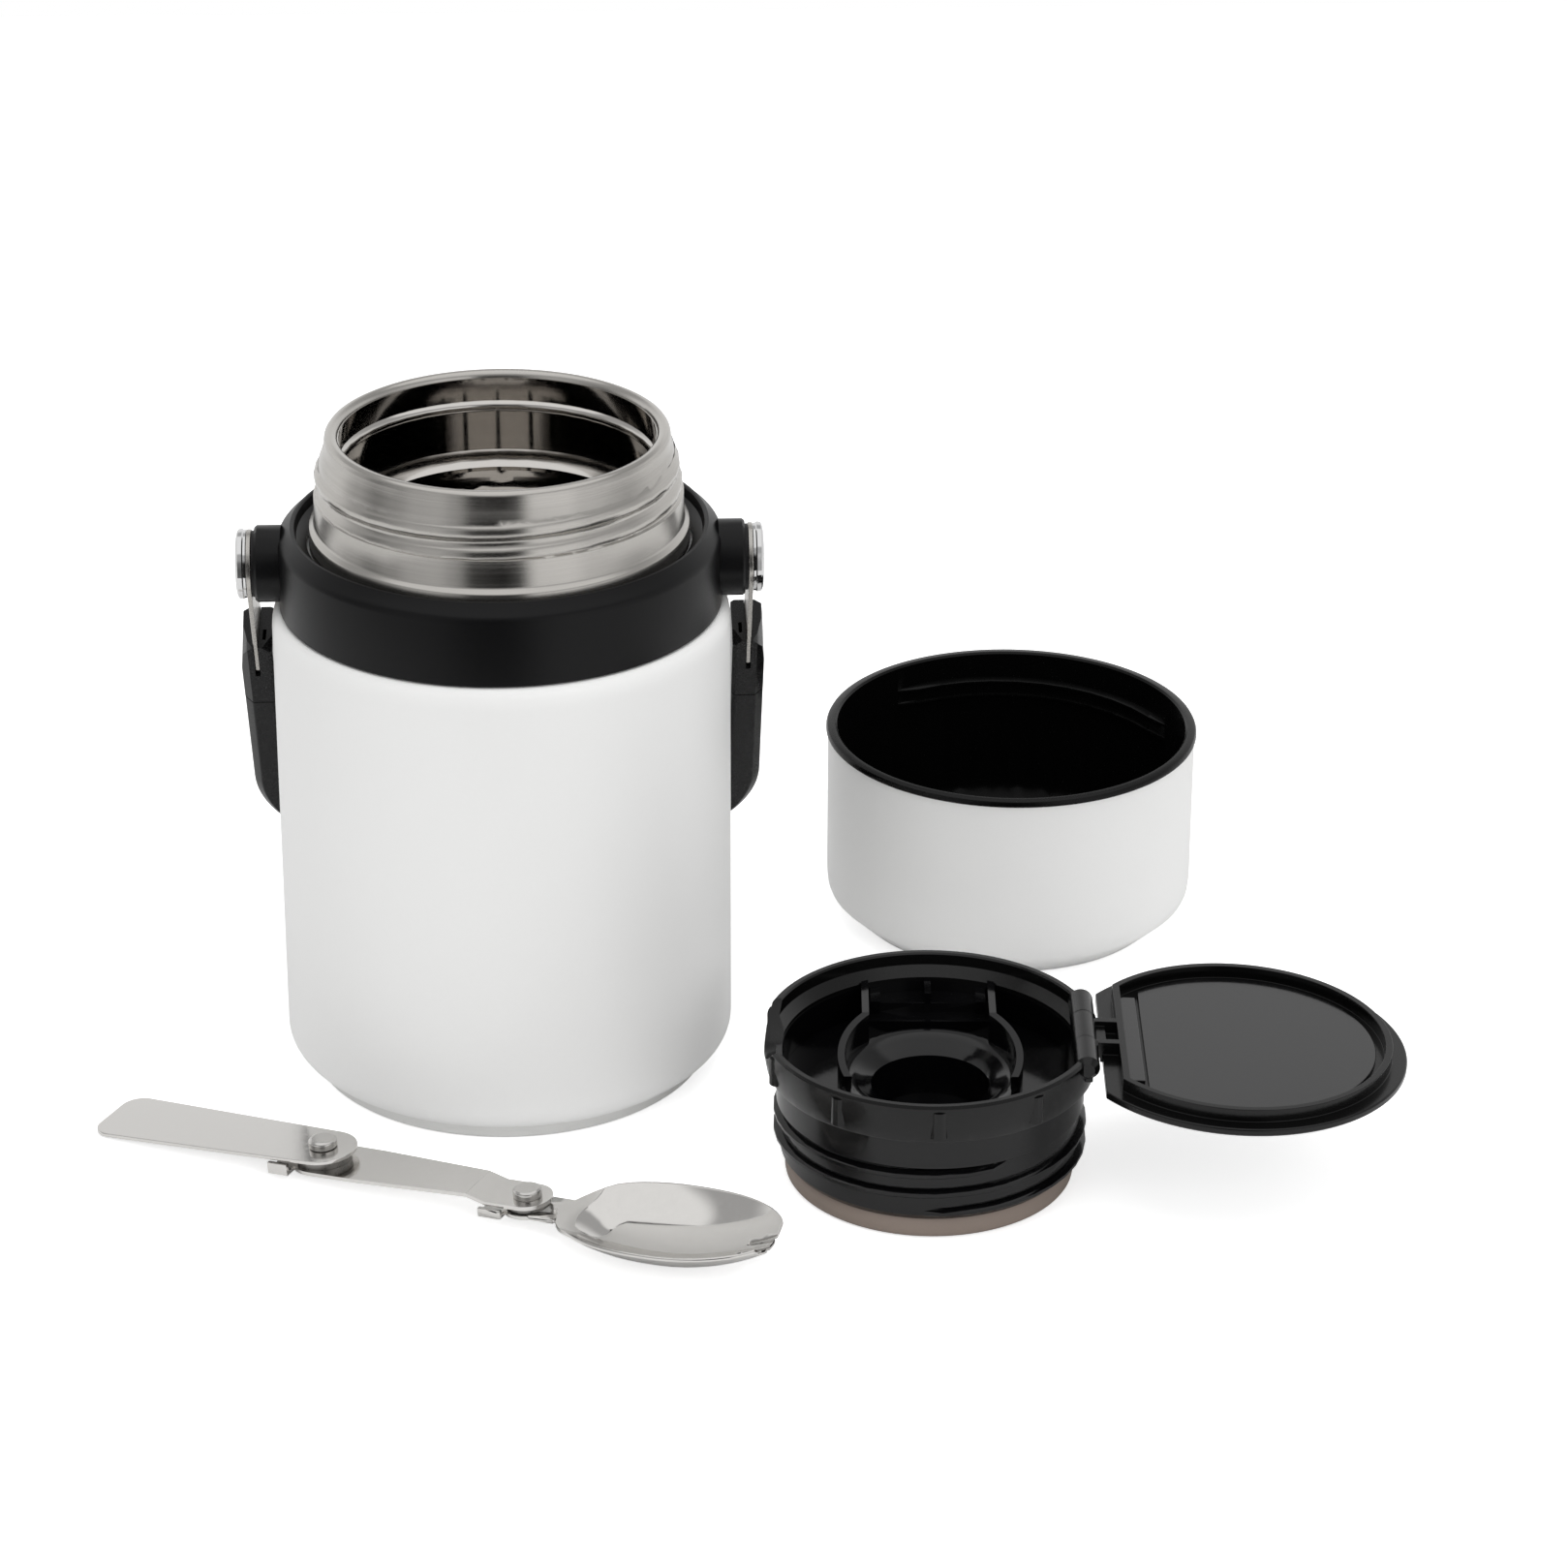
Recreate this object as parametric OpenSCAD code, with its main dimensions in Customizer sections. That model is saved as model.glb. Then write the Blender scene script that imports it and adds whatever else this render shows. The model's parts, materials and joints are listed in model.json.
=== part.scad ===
// Insulated food jar laid out open: vacuum jar with carrying bail, cup with
// threaded lining, screw stopper with flip lid, and a folding spork.
// Millimetres. The jar stands on the floor about the Z axis, bail pivot along X.

/* [Jar body] */
// Radius of the jar's outer wall
body_r = 56; // [54.5:0.5:62]
// Height of the straight outer wall's upper end
wall_top = 118; // [80:1:180]
// Height of the base cap's seam above the floor
base_h = 3.8; // [3:0.1:5]
// Radius of the ring the base cap stands on
base_r = 49.6; // [44:0.2:50.5]
// Height over which the wall rounds into the base
base_round = 8.2; // [6:0.2:12]
// Sheet thickness of the outer shell
shell_t = 0.8; // [0.6:0.05:1.2]
// Height of the shoulder between wall and collar
shoulder_h = 5.3; // [3:0.1:9]
// Gap between parts that are pushed over one another
seat_gap = 0.1; // [0.05:0.05:0.2]

/* [Liner] */
// Clear space between the liner and the shell behind the collar
liner_gap = 1.8; // [1.4:0.1:6]
// Sheet thickness of the liner
liner_t = 0.7; // [0.5:0.05:0.9]
// Height of the food space's floor above the table
liner_floor = 13; // [10:0.5:24]
// Width of the seat that the stopper's gasket meets
seat_w = 4.8; // [4.3:0.5:7.3]
// Thickness of the neck from its thread's root to the liner's inner face
neck_wall = 4.9; // [4.6:0.1:5]

/* [Neck] */
// Height of the rim above the collar's lip
neck_h = 23.9; // [22:0.1:30]
// How far the rolled outer thread's root is set in from the collar's wall
neck_in = 10.8; // [10.4:0.1:11.2]
// How far the rolled threads stand out
thread_h = 1.3; // [0.9:0.1:1.7]
// Rise of the neck's outer thread in one turn
neck_pitch = 5.6; // [5:0.1:6]
// Rise of the stopper's thread in one turn
thread_pitch = 5.2; // [4.6:0.1:5.6]

/* [Collar] */
// How far the collar's wall is set in from the jar's wall
collar_in = 2; // [1:0.1:2.4]
// Height of the collar
collar_h = 20.4; // [19:0.2:26]
// Wall thickness of the collar
collar_t = 2.4; // [2:0.1:3]
// How far the collar's raised lip is set in from its wall
lip_in = 4.2; // [4:0.1:4.7]

/* [Bail pivot] */
// Height of the pivot above the collar's lower edge
pivot_up = 9.9; // [9:0.1:11]
// Radius of the bosses
boss_r = 9.4; // [8.8:0.1:9.6]
// How far each boss stands out from the collar's wall
boss_out = 5.5; // [4:0.1:8]
// Radius of the pivot pins
pin_r = 3; // [2:0.1:4]
// Radial running clearance on the pivot pins
pin_gap = 0.05; // [0.02:0.01:0.09]
// Thickness of the inner washers
washer_t = 0.65; // [0.4:0.05:1]
// Thickness of the outer washers
spring_t = 0.55; // [0.3:0.05:0.8]
// Side clearance of the bail arms between the washers
side_gap = 0.15; // [0.1:0.05:0.25]
// Thickness of the domed caps
cap_t = 2.2; // [1.4:0.1:4]
// Radius of the domed caps
cap_r = 8.6; // [7:0.1:9]

/* [Bail] */
// Sheet thickness of the arms
arm_t = 1.1; // [0.8:0.05:1.4]
// Width of the arms
arm_w = 16.8; // [14:0.2:17.4]
// Length from the pivot to the end of the arms' full width
arm_len = 36.8; // [30:0.2:42]
// Length of the tongue that the socket holds
tongue_len = 9; // [5:0.5:10]
// Distance from the pivot to the front of the sockets' upper ends
socket_top = 24; // [20:0.5:26]
// How much lower the sockets' upper ends are at the back
socket_slant = 9; // [2:0.5:10]
// Distance from the pivot to the joint between socket and grip
socket_end = 49; // [47:0.5:56]
// Reach of the bail from the pivot to the grip's far face
bail_reach = 124.5; // [118:0.5:136]
// Thickness of the grip, seen from the front
grip_t = 8.1; // [7.6:0.1:8.6]
// Width of the grip
grip_w = 18; // [17.8:0.2:19]
// Outer radius of the grip's two corners
grip_round = 36.5; // [26:0.5:44]
// Chamfer along the grip's outer edges
grip_chamfer = 2; // [0.6:0.1:2.6]
// Lean of the bail behind the jar, from hanging straight
bail_lean = 33.6; // [33.4:0.1:40]

/* [Cup] */
// Outer radius of the cup's wall
cup_r = 48.4; // [48:0.1:49]
// Height of the cup to the top of its rim
cup_h = 53.5; // [40:0.5:70]
// Radius of the cup's foot
cup_foot_r = 39.6; // [34:0.2:42]
// Height of the chamfer above the foot
cup_chamfer = 7.4; // [5:0.2:12]
// Sheet thickness of the cup's shell
cup_t = 0.8; // [0.6:0.05:1]
// Wall thickness of the cup's lining
lining_t = 1.5; // [1.2:0.1:1.6]
// Height of the lining's rolled rim
cup_rim_h = 1.7; // [1.2:0.1:2.6]
// How far the cup's inner thread ridges stand out
cup_ridge = 1.6; // [1:0.1:1.8]

/* [Stopper] */
// How far the stopper's thread root is set in from the neck's inner wall
stop_in = 2.1; // [1.9:0.1:2.5]
// How far the stopper's thread stands out
stop_thread_h = 1.7; // [1:0.1:1.8]
// How far the plain band above the thread stands out from its root
band_out = 1; // [0.6:0.1:1.4]
// Height of the gasket
gasket_h = 5.2; // [3.6:0.2:6]
// How far the gasket is set in from the thread's root
gasket_in = 1.2; // [0.8:0.1:1.8]
// Height of the top ring's lower edge
skirt_z = 28.5; // [27.5:0.1:29.5]
// Height of the top ring's upper edge
ring_top = 38.5; // [37.9:0.1:39]
// How far the top ring stands out from the plain band
ring_out = 3.3; // [2.7:0.1:4.3]
// Thickness of the top ring's wall at its upper edge
ring_wall = 2; // [1.9:0.1:2.2]
// How much the ring's wall draws in at its lower edge
ring_draft = 1.1; // [0.4:0.1:1.3]
// Number of grip bars round the ring
bars = 10; // [6:1:14]
// Height of the recess floor above the table
recess_z = 24; // [22.5:0.5:25]
// Thickness of the plain band's wall, out from the recess
band_wall = 1.4; // [1.2:0.1:2]
// Outer radius of the keyhole-shaped wall
key_r = 22.4; // [21:0.2:24]
// Thickness of the keyhole-shaped wall
key_t = 1.7; // [1.2:0.1:2.2]
// Radius of the round well
well_r = 14.3; // [11:0.1:16]
// Height of the well's floor above the table
well_z = 12.5; // [9:0.5:16]

/* [Flip lid] */
// How far the lid's hinge is set in from the top ring's outer face
hinge_in = 3.7; // [3.5:0.1:3.9]
// Height of the hinge above the table
hinge_z = 36.6; // [36.4:0.1:36.8]
// Radius of the hinge barrel
barrel_r = 3; // [2.6:0.1:3.1]
// Radius of the hinge pin
hinge_pin_r = 1.1; // [0.8:0.05:1.4]
// Radial running clearance on the hinge pin
hinge_pin_gap = 0.05; // [0.02:0.01:0.09]
// Length of the lid's middle knuckle
knuckle_l = 13; // [9:0.5:14]
// Whole length of the hinge barrel
barrel_l = 38; // [32:1:40]
// How far the lid's disc stands out over the top ring
lid_over = 0.7; // [0.1:0.1:1.3]
// Thickness of the lid's disc
lid_t = 2.1; // [1.4:0.1:2.6]
// Clear height between the ring and the closed lid
lid_gap = 0.25; // [0.15:0.05:0.4]
// Clear space round the lid's raised wall in the top ring
plug_gap = 1; // [0.7:0.1:1.7]
// Height of the lid's raised wall
plug_h = 3.2; // [2.6:0.1:3.4]
// Thickness of the lid's raised wall
plug_t = 1.7; // [1.2:0.1:2]
// How far the open lid droops below level
lid_droop = 1.9; // [0:0.1:4]

/* [Spork] */
// Distance from the handle's end to the first rivet
handle_l = 61; // [52:0.5:70]
// Distance between the two rivets
link_l = 56; // [50:0.5:64]
// Distance from the second rivet to the tips of the tines
bowl_l = 64; // [56:0.5:72]
// Sheet thickness of the three pieces
sheet = 1; // [0.8:0.05:1.2]
// Clear height between handle and link at the first rivet
gap_1 = 2.2; // [1.8:0.1:2.8]
// Clear height between link and bowl at the second rivet
gap_2 = 1.5; // [1.3:0.1:2]
// Radius of the rivets' shanks
rivet_r = 2; // [1.5:0.1:2.4]
// Radial running clearance on the rivets
rivet_gap = 0.05; // [0.02:0.01:0.09]
// Radius of the rivets' heads
head_r = 3.5; // [3:0.1:4.2]
// Height of the rivets' heads
head_h = 2.2; // [1.2:0.1:2.4]
// Width of the handle at its free end
handle_w = 20.2; // [16:0.2:24]
// Width of the bowl
bowl_w = 35; // [28:0.5:40]
// Depth of the bowl
bowl_d = 8.6; // [6:0.1:9.4]

/* [Hidden] */
$fn = 96;
eps = 0.01;

// where the loose pieces lie: x, y and turn
cup_at = [132.7, 73.85];
stopper_at = [101.8, -67.4];
stopper_turn = -2.6;
spork_at = [-98.7, -35];
spork_turn = -28.1;

// heights and radii that follow from the sizes above
collar_z = wall_top + shoulder_h;
collar_r = body_r - collar_in;
step_r = collar_r - collar_t - seat_gap;       // shell's wall under the collar
lip_z = collar_z + collar_h;
rim_z = lip_z + neck_h;
pivot_z = collar_z + pivot_up;
lip_r = collar_r - lip_in;                     // collar's raised lip, inside
liner_r = step_r - shell_t - liner_gap - liner_t;  // food space
neck_root_r = collar_r - neck_in;              // root of the rolled outer thread
neck_in_r = neck_root_r - neck_wall;           // neck, inside
mouth_r = neck_in_r - seat_w;                  // mouth below the stopper's seat
neck_foot_r = neck_root_r + 3.1;               // flared foot of the neck
stop_root_r = neck_in_r - stop_in;             // root of the stopper's thread
stop_band_r = stop_root_r + band_out;          // plain band above that thread
gasket_r = stop_root_r - gasket_in;
ring_r = stop_band_r + ring_out;               // top ring, outside
ring_in_r = ring_r - ring_wall;                // top ring, inside
recess_r = stop_band_r - band_wall;            // wall of the recess
hinge_x = ring_r - hinge_in;                   // lid's hinge, from the stopper's axis
lid_r = ring_r + lid_over;                     // lid's disc
plug_r = ring_in_r - plug_gap;                 // lid's raised wall, outside
neck_foot_z = lip_z - 4.7;                     // where shell and neck meet
boss_x = collar_r + boss_out;
arm_x = boss_x + washer_t + side_gap;          // inner face of the bail arms
spring_x = arm_x + arm_t + side_gap;
cap_x = spring_x + spring_t;
grip_x = body_r + 0.8;                         // inner faces of the grip
eye_r = arm_w / 2;

// ---------- helpers ----------
function unit(v) = v / norm(v);
function nrm2(a, b) = let (d = unit(b - a)) [d[1], -d[0]];
// path moved sideways by t, with mitred corners
function off(p, t) = [for (i = [0 : len(p) - 1])
    let (n1 = i > 0 ? nrm2(p[i - 1], p[i]) : nrm2(p[i], p[i + 1]),
         n2 = i < len(p) - 1 ? nrm2(p[i], p[i + 1]) : n1,
         m = unit(n1 + n2))
    p[i] + m * (t / max(0.35, m * n1))];
// sheet of thickness t along a path, the path being its outer face
function sheet_of(p, t) = let (q = off(p, t))
    concat(p, [for (i = [len(q) - 1 : -1 : 0]) q[i]]);
function arc(c, rx, rz, a0, a1, n) = [for (i = [0 : n])
    let (a = a0 + (a1 - a0) * i / n) [c[0] + rx * cos(a), c[1] + rz * sin(a)]];
function ramp(x, a, b) = let (t = min(1, max(0, (x - a) / (b - a)))) t * t * (3 - 2 * t);

module ring(r_out, r_in, h) {
    difference() {
        cylinder(r = r_out, h = h);
        translate([0, 0, -1]) cylinder(r = r_in, h = h + 2);
    }
}

// helical ridge: out = 1 stands out from radius r, out = -1 stands in
module ridge(r, z0, pitch, a0, turns, width, high, out = 1, taper = 14, step = 9) {
    n = ceil(turns * 360 / step);
    k = 0.42;                                  // depth sunk into the wall
    pts = [for (i = [0 : n])
        let (a = a0 + turns * 360 * i / n,
             f = min(1, min(i, n - i) * turns * 360 / n / taper),
             h = -0.22 + (high + 0.22) * f * (2 - f),
             z = z0 + pitch * turns * i / n,
             w = width / 2)
        each [for (q = [[-k, -w * 1.1], [k * (f - 1) * 0.5 + h * 0.6 * f, -w * 0.72], [h, -w * 0.3],
                        [h, w * 0.3], [k * (f - 1) * 0.5 + h * 0.6 * f, w * 0.72], [-k, w * 1.1]])
            [(r + out * q[0]) * cos(a), (r + out * q[0]) * sin(a), z + q[1]]]];
    m = 6;
    side = [for (i = [0 : n - 1], j = [0 : m - 1])
        each [[i * m + j, i * m + (j + 1) % m, (i + 1) * m + (j + 1) % m],
              [i * m + j, (i + 1) * m + (j + 1) % m, (i + 1) * m + j]]];
    ends = concat([for (j = [1 : m - 2]) [0, j + 1, j]],
                  [for (j = [1 : m - 2]) [n * m, n * m + j, n * m + j + 1]]);
    all = concat(side, ends);
    polyhedron(pts, out > 0 ? all : [for (f = all) [f[0], f[2], f[1]]]);
}

// ---------- jar ----------
module outer_shell() {
    c = 14;                                    // width of the rounded lower corner
    z1 = base_h;
    a1 = acos(min(1, max(0.2, (base_round + 1.9 - z1) / base_round)));
    wall = concat(
        [[0, z1], [body_r - c + c * sin(a1) - 2.2, z1]],
        [for (i = [0 : 8]) let (a = a1 + (90 - a1) * i / 8)
            [body_r - c + c * sin(a), 1.9 + base_round - base_round * cos(a)]],
        [[body_r, wall_top]],
        [for (i = [1 : 5]) let (a = 90 * i / 5)
            [body_r - (collar_in) * (1 - cos(a)), wall_top + (shoulder_h - 0.3) * sin(a)]],
        [[step_r, collar_z - 0.3],
         [step_r, collar_z + 9.8],
         [neck_foot_r, neck_foot_z - 0.8], [neck_foot_r, neck_foot_z]]);
    color("white") rotate_extrude() polygon(sheet_of(wall, -shell_t));
}

module base_cap() {
    c = 14;
    a1 = acos(min(1, max(0.2, (base_round + 1.9 - base_h) / base_round)));
    r1 = body_r - c + c * sin(a1);
    color("gainsboro") rotate_extrude() polygon([
        [0, 0], [base_r - 9, 0], [base_r - 8.2, 0.8], [base_r - 4.8, 0.8], [base_r - 4, 0], [base_r - 0.6, 0], [base_r, 0.5],
        [base_r + 0.3, base_h * 0.6], [r1 - 0.15, base_h - 0.15], [r1 - 0.4, base_h], [0, base_h]]);
}

module inner_liner() {
    f = liner_floor;
    face = concat(
        [[0, f], [liner_r - 9, f]],
        arc([liner_r - 9, f + 9], 9, 9, -75, 0, 5),
        [[liner_r, collar_z - 6], [liner_r, collar_z + 6],
         [liner_r - 2.4, collar_z + 11], [mouth_r + 3, lip_z - 2.4], [mouth_r, lip_z - 0.4],
         [mouth_r, lip_z + 0.6], [neck_in_r, lip_z + 3.4], [neck_in_r, rim_z - 1.6]]);
    color("silver") {
        rotate_extrude() polygon(sheet_of(face, liner_t));
        // rolled inner thread that the stopper screws into
        ridge(neck_in_r, rim_z - 9.9, thread_pitch * 0.27, -150, 0.97, 3, 1.1, -1);
    }
}

module neck_ring() {
    rb = neck_root_r + 1.6;                    // plain band below the thread
    z0 = lip_z;
    t = shell_t;
    lip_w = neck_root_r - 1.4;
    outer = [[neck_foot_r, neck_foot_z], [neck_foot_r, z0 - 0.2], [neck_foot_r - 0.3, z0 + 0.2],
        [rb + 0.4, z0 + 0.7], [rb, z0 + 1.3], [rb, z0 + 7.9], [rb - 0.6, z0 + 8.2], [rb - 0.6, z0 + 8.6],
        [neck_root_r + 0.3, z0 + 9], [neck_root_r, z0 + 10], [neck_root_r, rim_z - 7.2],
        [neck_root_r - 0.4, rim_z - 6.2], [lip_w + 0.35, rim_z - 4.2], [lip_w, rim_z - 3.4], [lip_w, rim_z - 1.7]];
    inner = [[neck_foot_r - t, neck_foot_z], [neck_foot_r - t, z0 - 0.3], [rb - t, z0 + 1],
        [rb - t, z0 + 7.4], [neck_root_r - t, z0 + 9], [neck_root_r - t, rim_z - 7],
        [lip_w - t, rim_z - 3.8], [lip_w - t, rim_z - 2.2]];
    lip = [[lip_w - 0.15, rim_z - 1.0], [lip_w - 0.6, rim_z - 0.35], [lip_w - 1.2, rim_z - 0.05], [lip_w - 1.7, rim_z],
        [neck_in_r + 0.9, rim_z - 0.2], [neck_in_r + 0.35, rim_z - 0.75], [neck_in_r + 0.2, rim_z - 1.6],
        [lip_w - t - 0.6, rim_z - 1.6]];
    color("silver") {
        rotate_extrude() polygon(concat(outer, lip, [for (i = [len(inner) - 1 : -1 : 0]) inner[i]]));
        ridge(neck_root_r, z0 + 7.2, neck_pitch, -205, 1.6, 4.4, thread_h, 1, 40);
    }
}

module collar() {
    h = collar_h;
    r = collar_r;
    fr = neck_foot_r + 0.6;                    // open ring round the neck's foot
    prof = concat(
        [[step_r + seat_gap, 0], [r - 0.3, 0], [r, 0.3]],
        arc([r - 2.4, h - 4.2], 2.4, 2.4, 0, 62, 4),
        [[lip_r + 1, h - 0.05], [lip_r + 0.4, h], [lip_r, h - 0.35], [lip_r - 0.5, h - 2.4],
         [fr, h - 3.9], [fr, h - 5.1], [fr + 0.4, h - 5.4],
         [step_r + seat_gap, 9.9 + seat_gap]]);
    color("dimgray") translate([0, 0, collar_z]) difference() {
        union() {
            rotate_extrude() polygon(prof);
            for (s = [-1, 1]) intersection() {
                translate([s * (step_r + 1.6), 0, pivot_up]) rotate([0, 90 * s, 0]) {
                    cylinder(r = boss_r, h = boss_x - step_r - 2.2);
                    translate([0, 0, boss_x - step_r - 2.2]) cylinder(r1 = boss_r, r2 = boss_r - 0.5, h = 0.6);
                }
                translate([-100, -100, 0.3]) cube([200, 200, collar_h]);
            }
        }
        for (s = [-1, 1]) translate([s * (collar_r - 1.6), 0, pivot_up]) rotate([0, 90 * s, 0])
            cylinder(r = pin_r, h = boss_out + 3);
    }
}

module on_pivot(s) {
    translate([0, 0, pivot_z]) rotate([0, 90 * s, 0]) children();
}
module pivot_pin(s) {
    color("silver") on_pivot(s) translate([0, 0, collar_r - 1.6])
        cylinder(r = pin_r, h = cap_x - collar_r + 1.6);
}
module boss_washer(s) {
    color("black") on_pivot(s) translate([0, 0, boss_x]) ring(eye_r - 0.3, pin_r, washer_t);
}
module spring_washer(s) {
    color("silver") on_pivot(s) translate([0, 0, spring_x]) ring(eye_r - 0.1, pin_r, spring_t);
}
module pivot_cap(s) {
    color("lightgray") on_pivot(s) translate([0, 0, cap_x]) rotate_extrude() polygon(concat(
        [[0, 0], [cap_r - 0.3, 0], [cap_r, 0.3]],
        [for (i = [1 : 5]) let (a = 90 * i / 5)
            [cap_r - 2.6 * (1 - cos(a)), cap_t * 0.45 + cap_t * 0.45 * sin(a)]],
        [[cap_r * 0.35, cap_t], [0, cap_t]]));
}
module pivot_pin_left() { pivot_pin(-1); }
module pivot_pin_right() { pivot_pin(1); }
module boss_washer_left() { boss_washer(-1); }
module boss_washer_right() { boss_washer(1); }
module spring_washer_left() { spring_washer(-1); }
module spring_washer_right() { spring_washer(1); }
module pivot_cap_left() { pivot_cap(-1); }
module pivot_cap_right() { pivot_cap(1); }

// ---------- bail, drawn hanging straight down from its pivot ----------
module bail_place() {
    translate([0, 0, pivot_z]) rotate([bail_lean, 0, 0]) children();
}
tongue_w = arm_w * 0.5;
module bail_arm(s) {
    color("silver") bail_place() difference() {
        union() {
            translate([s * arm_x, 0, 0]) rotate([0, 90 * s, 0]) cylinder(r = eye_r, h = arm_t);
            translate([s > 0 ? arm_x : -arm_x - arm_t, -arm_w / 2, -arm_len + 2])
                cube([arm_t, arm_w, arm_len - 2]);
            translate([s > 0 ? arm_x : -arm_x - arm_t, -arm_w / 2 + 2, -arm_len])
                cube([arm_t, arm_w - 4, 2 + eps]);
            for (q = [-1, 1]) translate([s * arm_x, q * (arm_w / 2 - 2), -arm_len + 2])
                rotate([0, 90 * s, 0]) cylinder(r = 2, h = arm_t);
            translate([s > 0 ? arm_x : -arm_x - arm_t, -tongue_w / 2, -arm_len - tongue_len])
                cube([arm_t, tongue_w, tongue_len + 1]);
        }
        translate([s * (arm_x - 1), 0, 0]) rotate([0, 90 * s, 0]) cylinder(r = pin_r + pin_gap, h = arm_t + 2);
    }
}
module bail_arm_left() { bail_arm(-1); }
module bail_arm_right() { bail_arm(1); }

// grip section: x runs from the inner face outwards, y across the grip
function grip_section() = let (t = grip_t, w = grip_w / 2, c = grip_chamfer, d = 0.9)
    [[d, -w], [t - c, -w], [t, -w + c], [t, w - c], [t - c, w], [d, w], [0, w - d], [0, -w + d]];

module grip_socket(s) {
    x0 = grip_x;
    t = grip_t;
    color("black") bail_place() mirror([s < 0 ? 1 : 0, 0, 0]) difference() {
        intersection() {
            translate([x0, 0, -socket_end]) linear_extrude(socket_end - socket_top) polygon(grip_section());
            // upper end drawn in towards the arm
            rotate([90, 0, 0]) translate([0, 0, -grip_w]) linear_extrude(2 * grip_w) polygon([
                [x0 - 1, -socket_end - 1], [x0 + t + 1, -socket_end - 1], [x0 + t + 1, -socket_top - 13],
                [x0 + t, -socket_top - 12], [x0 + t - 0.6, -socket_top - 5], [x0 + t - 1.9, -socket_top - 1.6],
                [arm_x + arm_t, -socket_top], [x0 + 2.4, -socket_top], [x0 + 0.3, -socket_top - 2.6], [x0 - 1, -socket_top - 3]]);
        }
        // slanting upper end
        translate([x0 - 1, -grip_w / 2, -socket_top]) rotate([-atan(socket_slant / grip_w), 0, 0])
            translate([0, -30, 0]) cube([t + 2, 70, 40]);
        // slot for the arm and its tongue
        translate([arm_x - seat_gap / 2, -grip_w, -arm_len - seat_gap]) cube([arm_t + seat_gap, 2 * grip_w, arm_len]);
        translate([arm_x - seat_gap / 2, -tongue_w / 2 - seat_gap, -arm_len - tongue_len - seat_gap])
            cube([arm_t + seat_gap, tongue_w + 2 * seat_gap, arm_len]);
        // hollow in the upper end beside the arm
        translate([x0 + (arm_x - x0) / 2 - 0.1, -grip_w / 2 + 3.6, -socket_top - 7])
            cube([(arm_x - x0) / 2 - 0.9, 4.4, 20]);
    }
}
module grip_socket_left() { grip_socket(-1); }
module grip_socket_right() { grip_socket(1); }

module grip_bar() {
    x0 = grip_x;
    xc = x0 + grip_t - grip_round;             // centres of the two corners
    zc = -(bail_reach - grip_round);
    ri = grip_round - grip_t;
    color("black") bail_place() {
        for (m = [0, 1]) mirror([m, 0, 0]) {
            translate([x0, 0, zc]) linear_extrude(-zc - socket_end - 0.15) polygon(grip_section());
            translate([xc, 0, zc]) rotate([90, 0, 0]) rotate([0, 0, -90])
                rotate_extrude(angle = 90) translate([ri, 0]) polygon(grip_section());
        }
        translate([-xc, 0, zc - ri]) rotate([0, 90, 0]) linear_extrude(2 * xc) polygon(grip_section());
    }
}

// ---------- cup ----------
module cup_place() { translate([cup_at[0], cup_at[1], 0]) children(); }
cup_top = cup_h - cup_rim_h;                   // upper edge of the cup's sheet
function cup_wall() = [[0, 1.2], [cup_foot_r - 2.8, 1.2], [cup_foot_r - 1.3, 0], [cup_foot_r, 0],
    [cup_foot_r + 0.7, 0.4], [cup_r - 0.75, cup_chamfer - 0.2], [cup_r - 0.3, cup_chamfer + 0.9],
    [cup_r - 0.05, cup_chamfer + 3.2], [cup_r, cup_chamfer + 6], [cup_r, cup_top]];
module cup_shell() {
    color("white") cup_place() rotate_extrude() polygon(sheet_of(cup_wall(), -cup_t));
}
module cup_lining() {
    ro = cup_r - cup_t - seat_gap;
    ri = ro - lining_t;
    z0 = 1.2 + cup_t + seat_gap;
    zt = cup_top;
    rr = cup_r + 0.5;                          // rolled rim stands proud of the sheet
    body = concat(
        [[0, z0], [cup_foot_r - 3.4, z0], [cup_foot_r - 1.2, z0 + 0.5]],
        [[ro - 2.2, cup_chamfer + 1.8], [ro - 0.5, cup_chamfer + 4], [ro, cup_chamfer + 8], [ro, zt],
         [rr - 0.2, zt], [rr, zt + 0.25], [rr, cup_h - 0.9], [rr - 0.35, cup_h - 0.25], [rr - 0.9, cup_h],
         [ri + 0.5, cup_h], [ri, cup_h - 0.5],
         [ri, cup_chamfer + 9], [ri - 0.8, cup_chamfer + 5.6], [cup_foot_r - 1.4, z0 + lining_t + 0.9],
         [cup_foot_r - 4, z0 + lining_t], [0, z0 + lining_t]]);
    color("black") cup_place() {
        rotate_extrude() polygon(body);
        for (k = [0, 1], z = [0, 1]) 
            ridge(ri, cup_h - 9.2 - z * neck_pitch * 0.7, neck_pitch, 20 + 180 * k, 0.3, 1.7, cup_ridge, -1, 10);
    }
}

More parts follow.
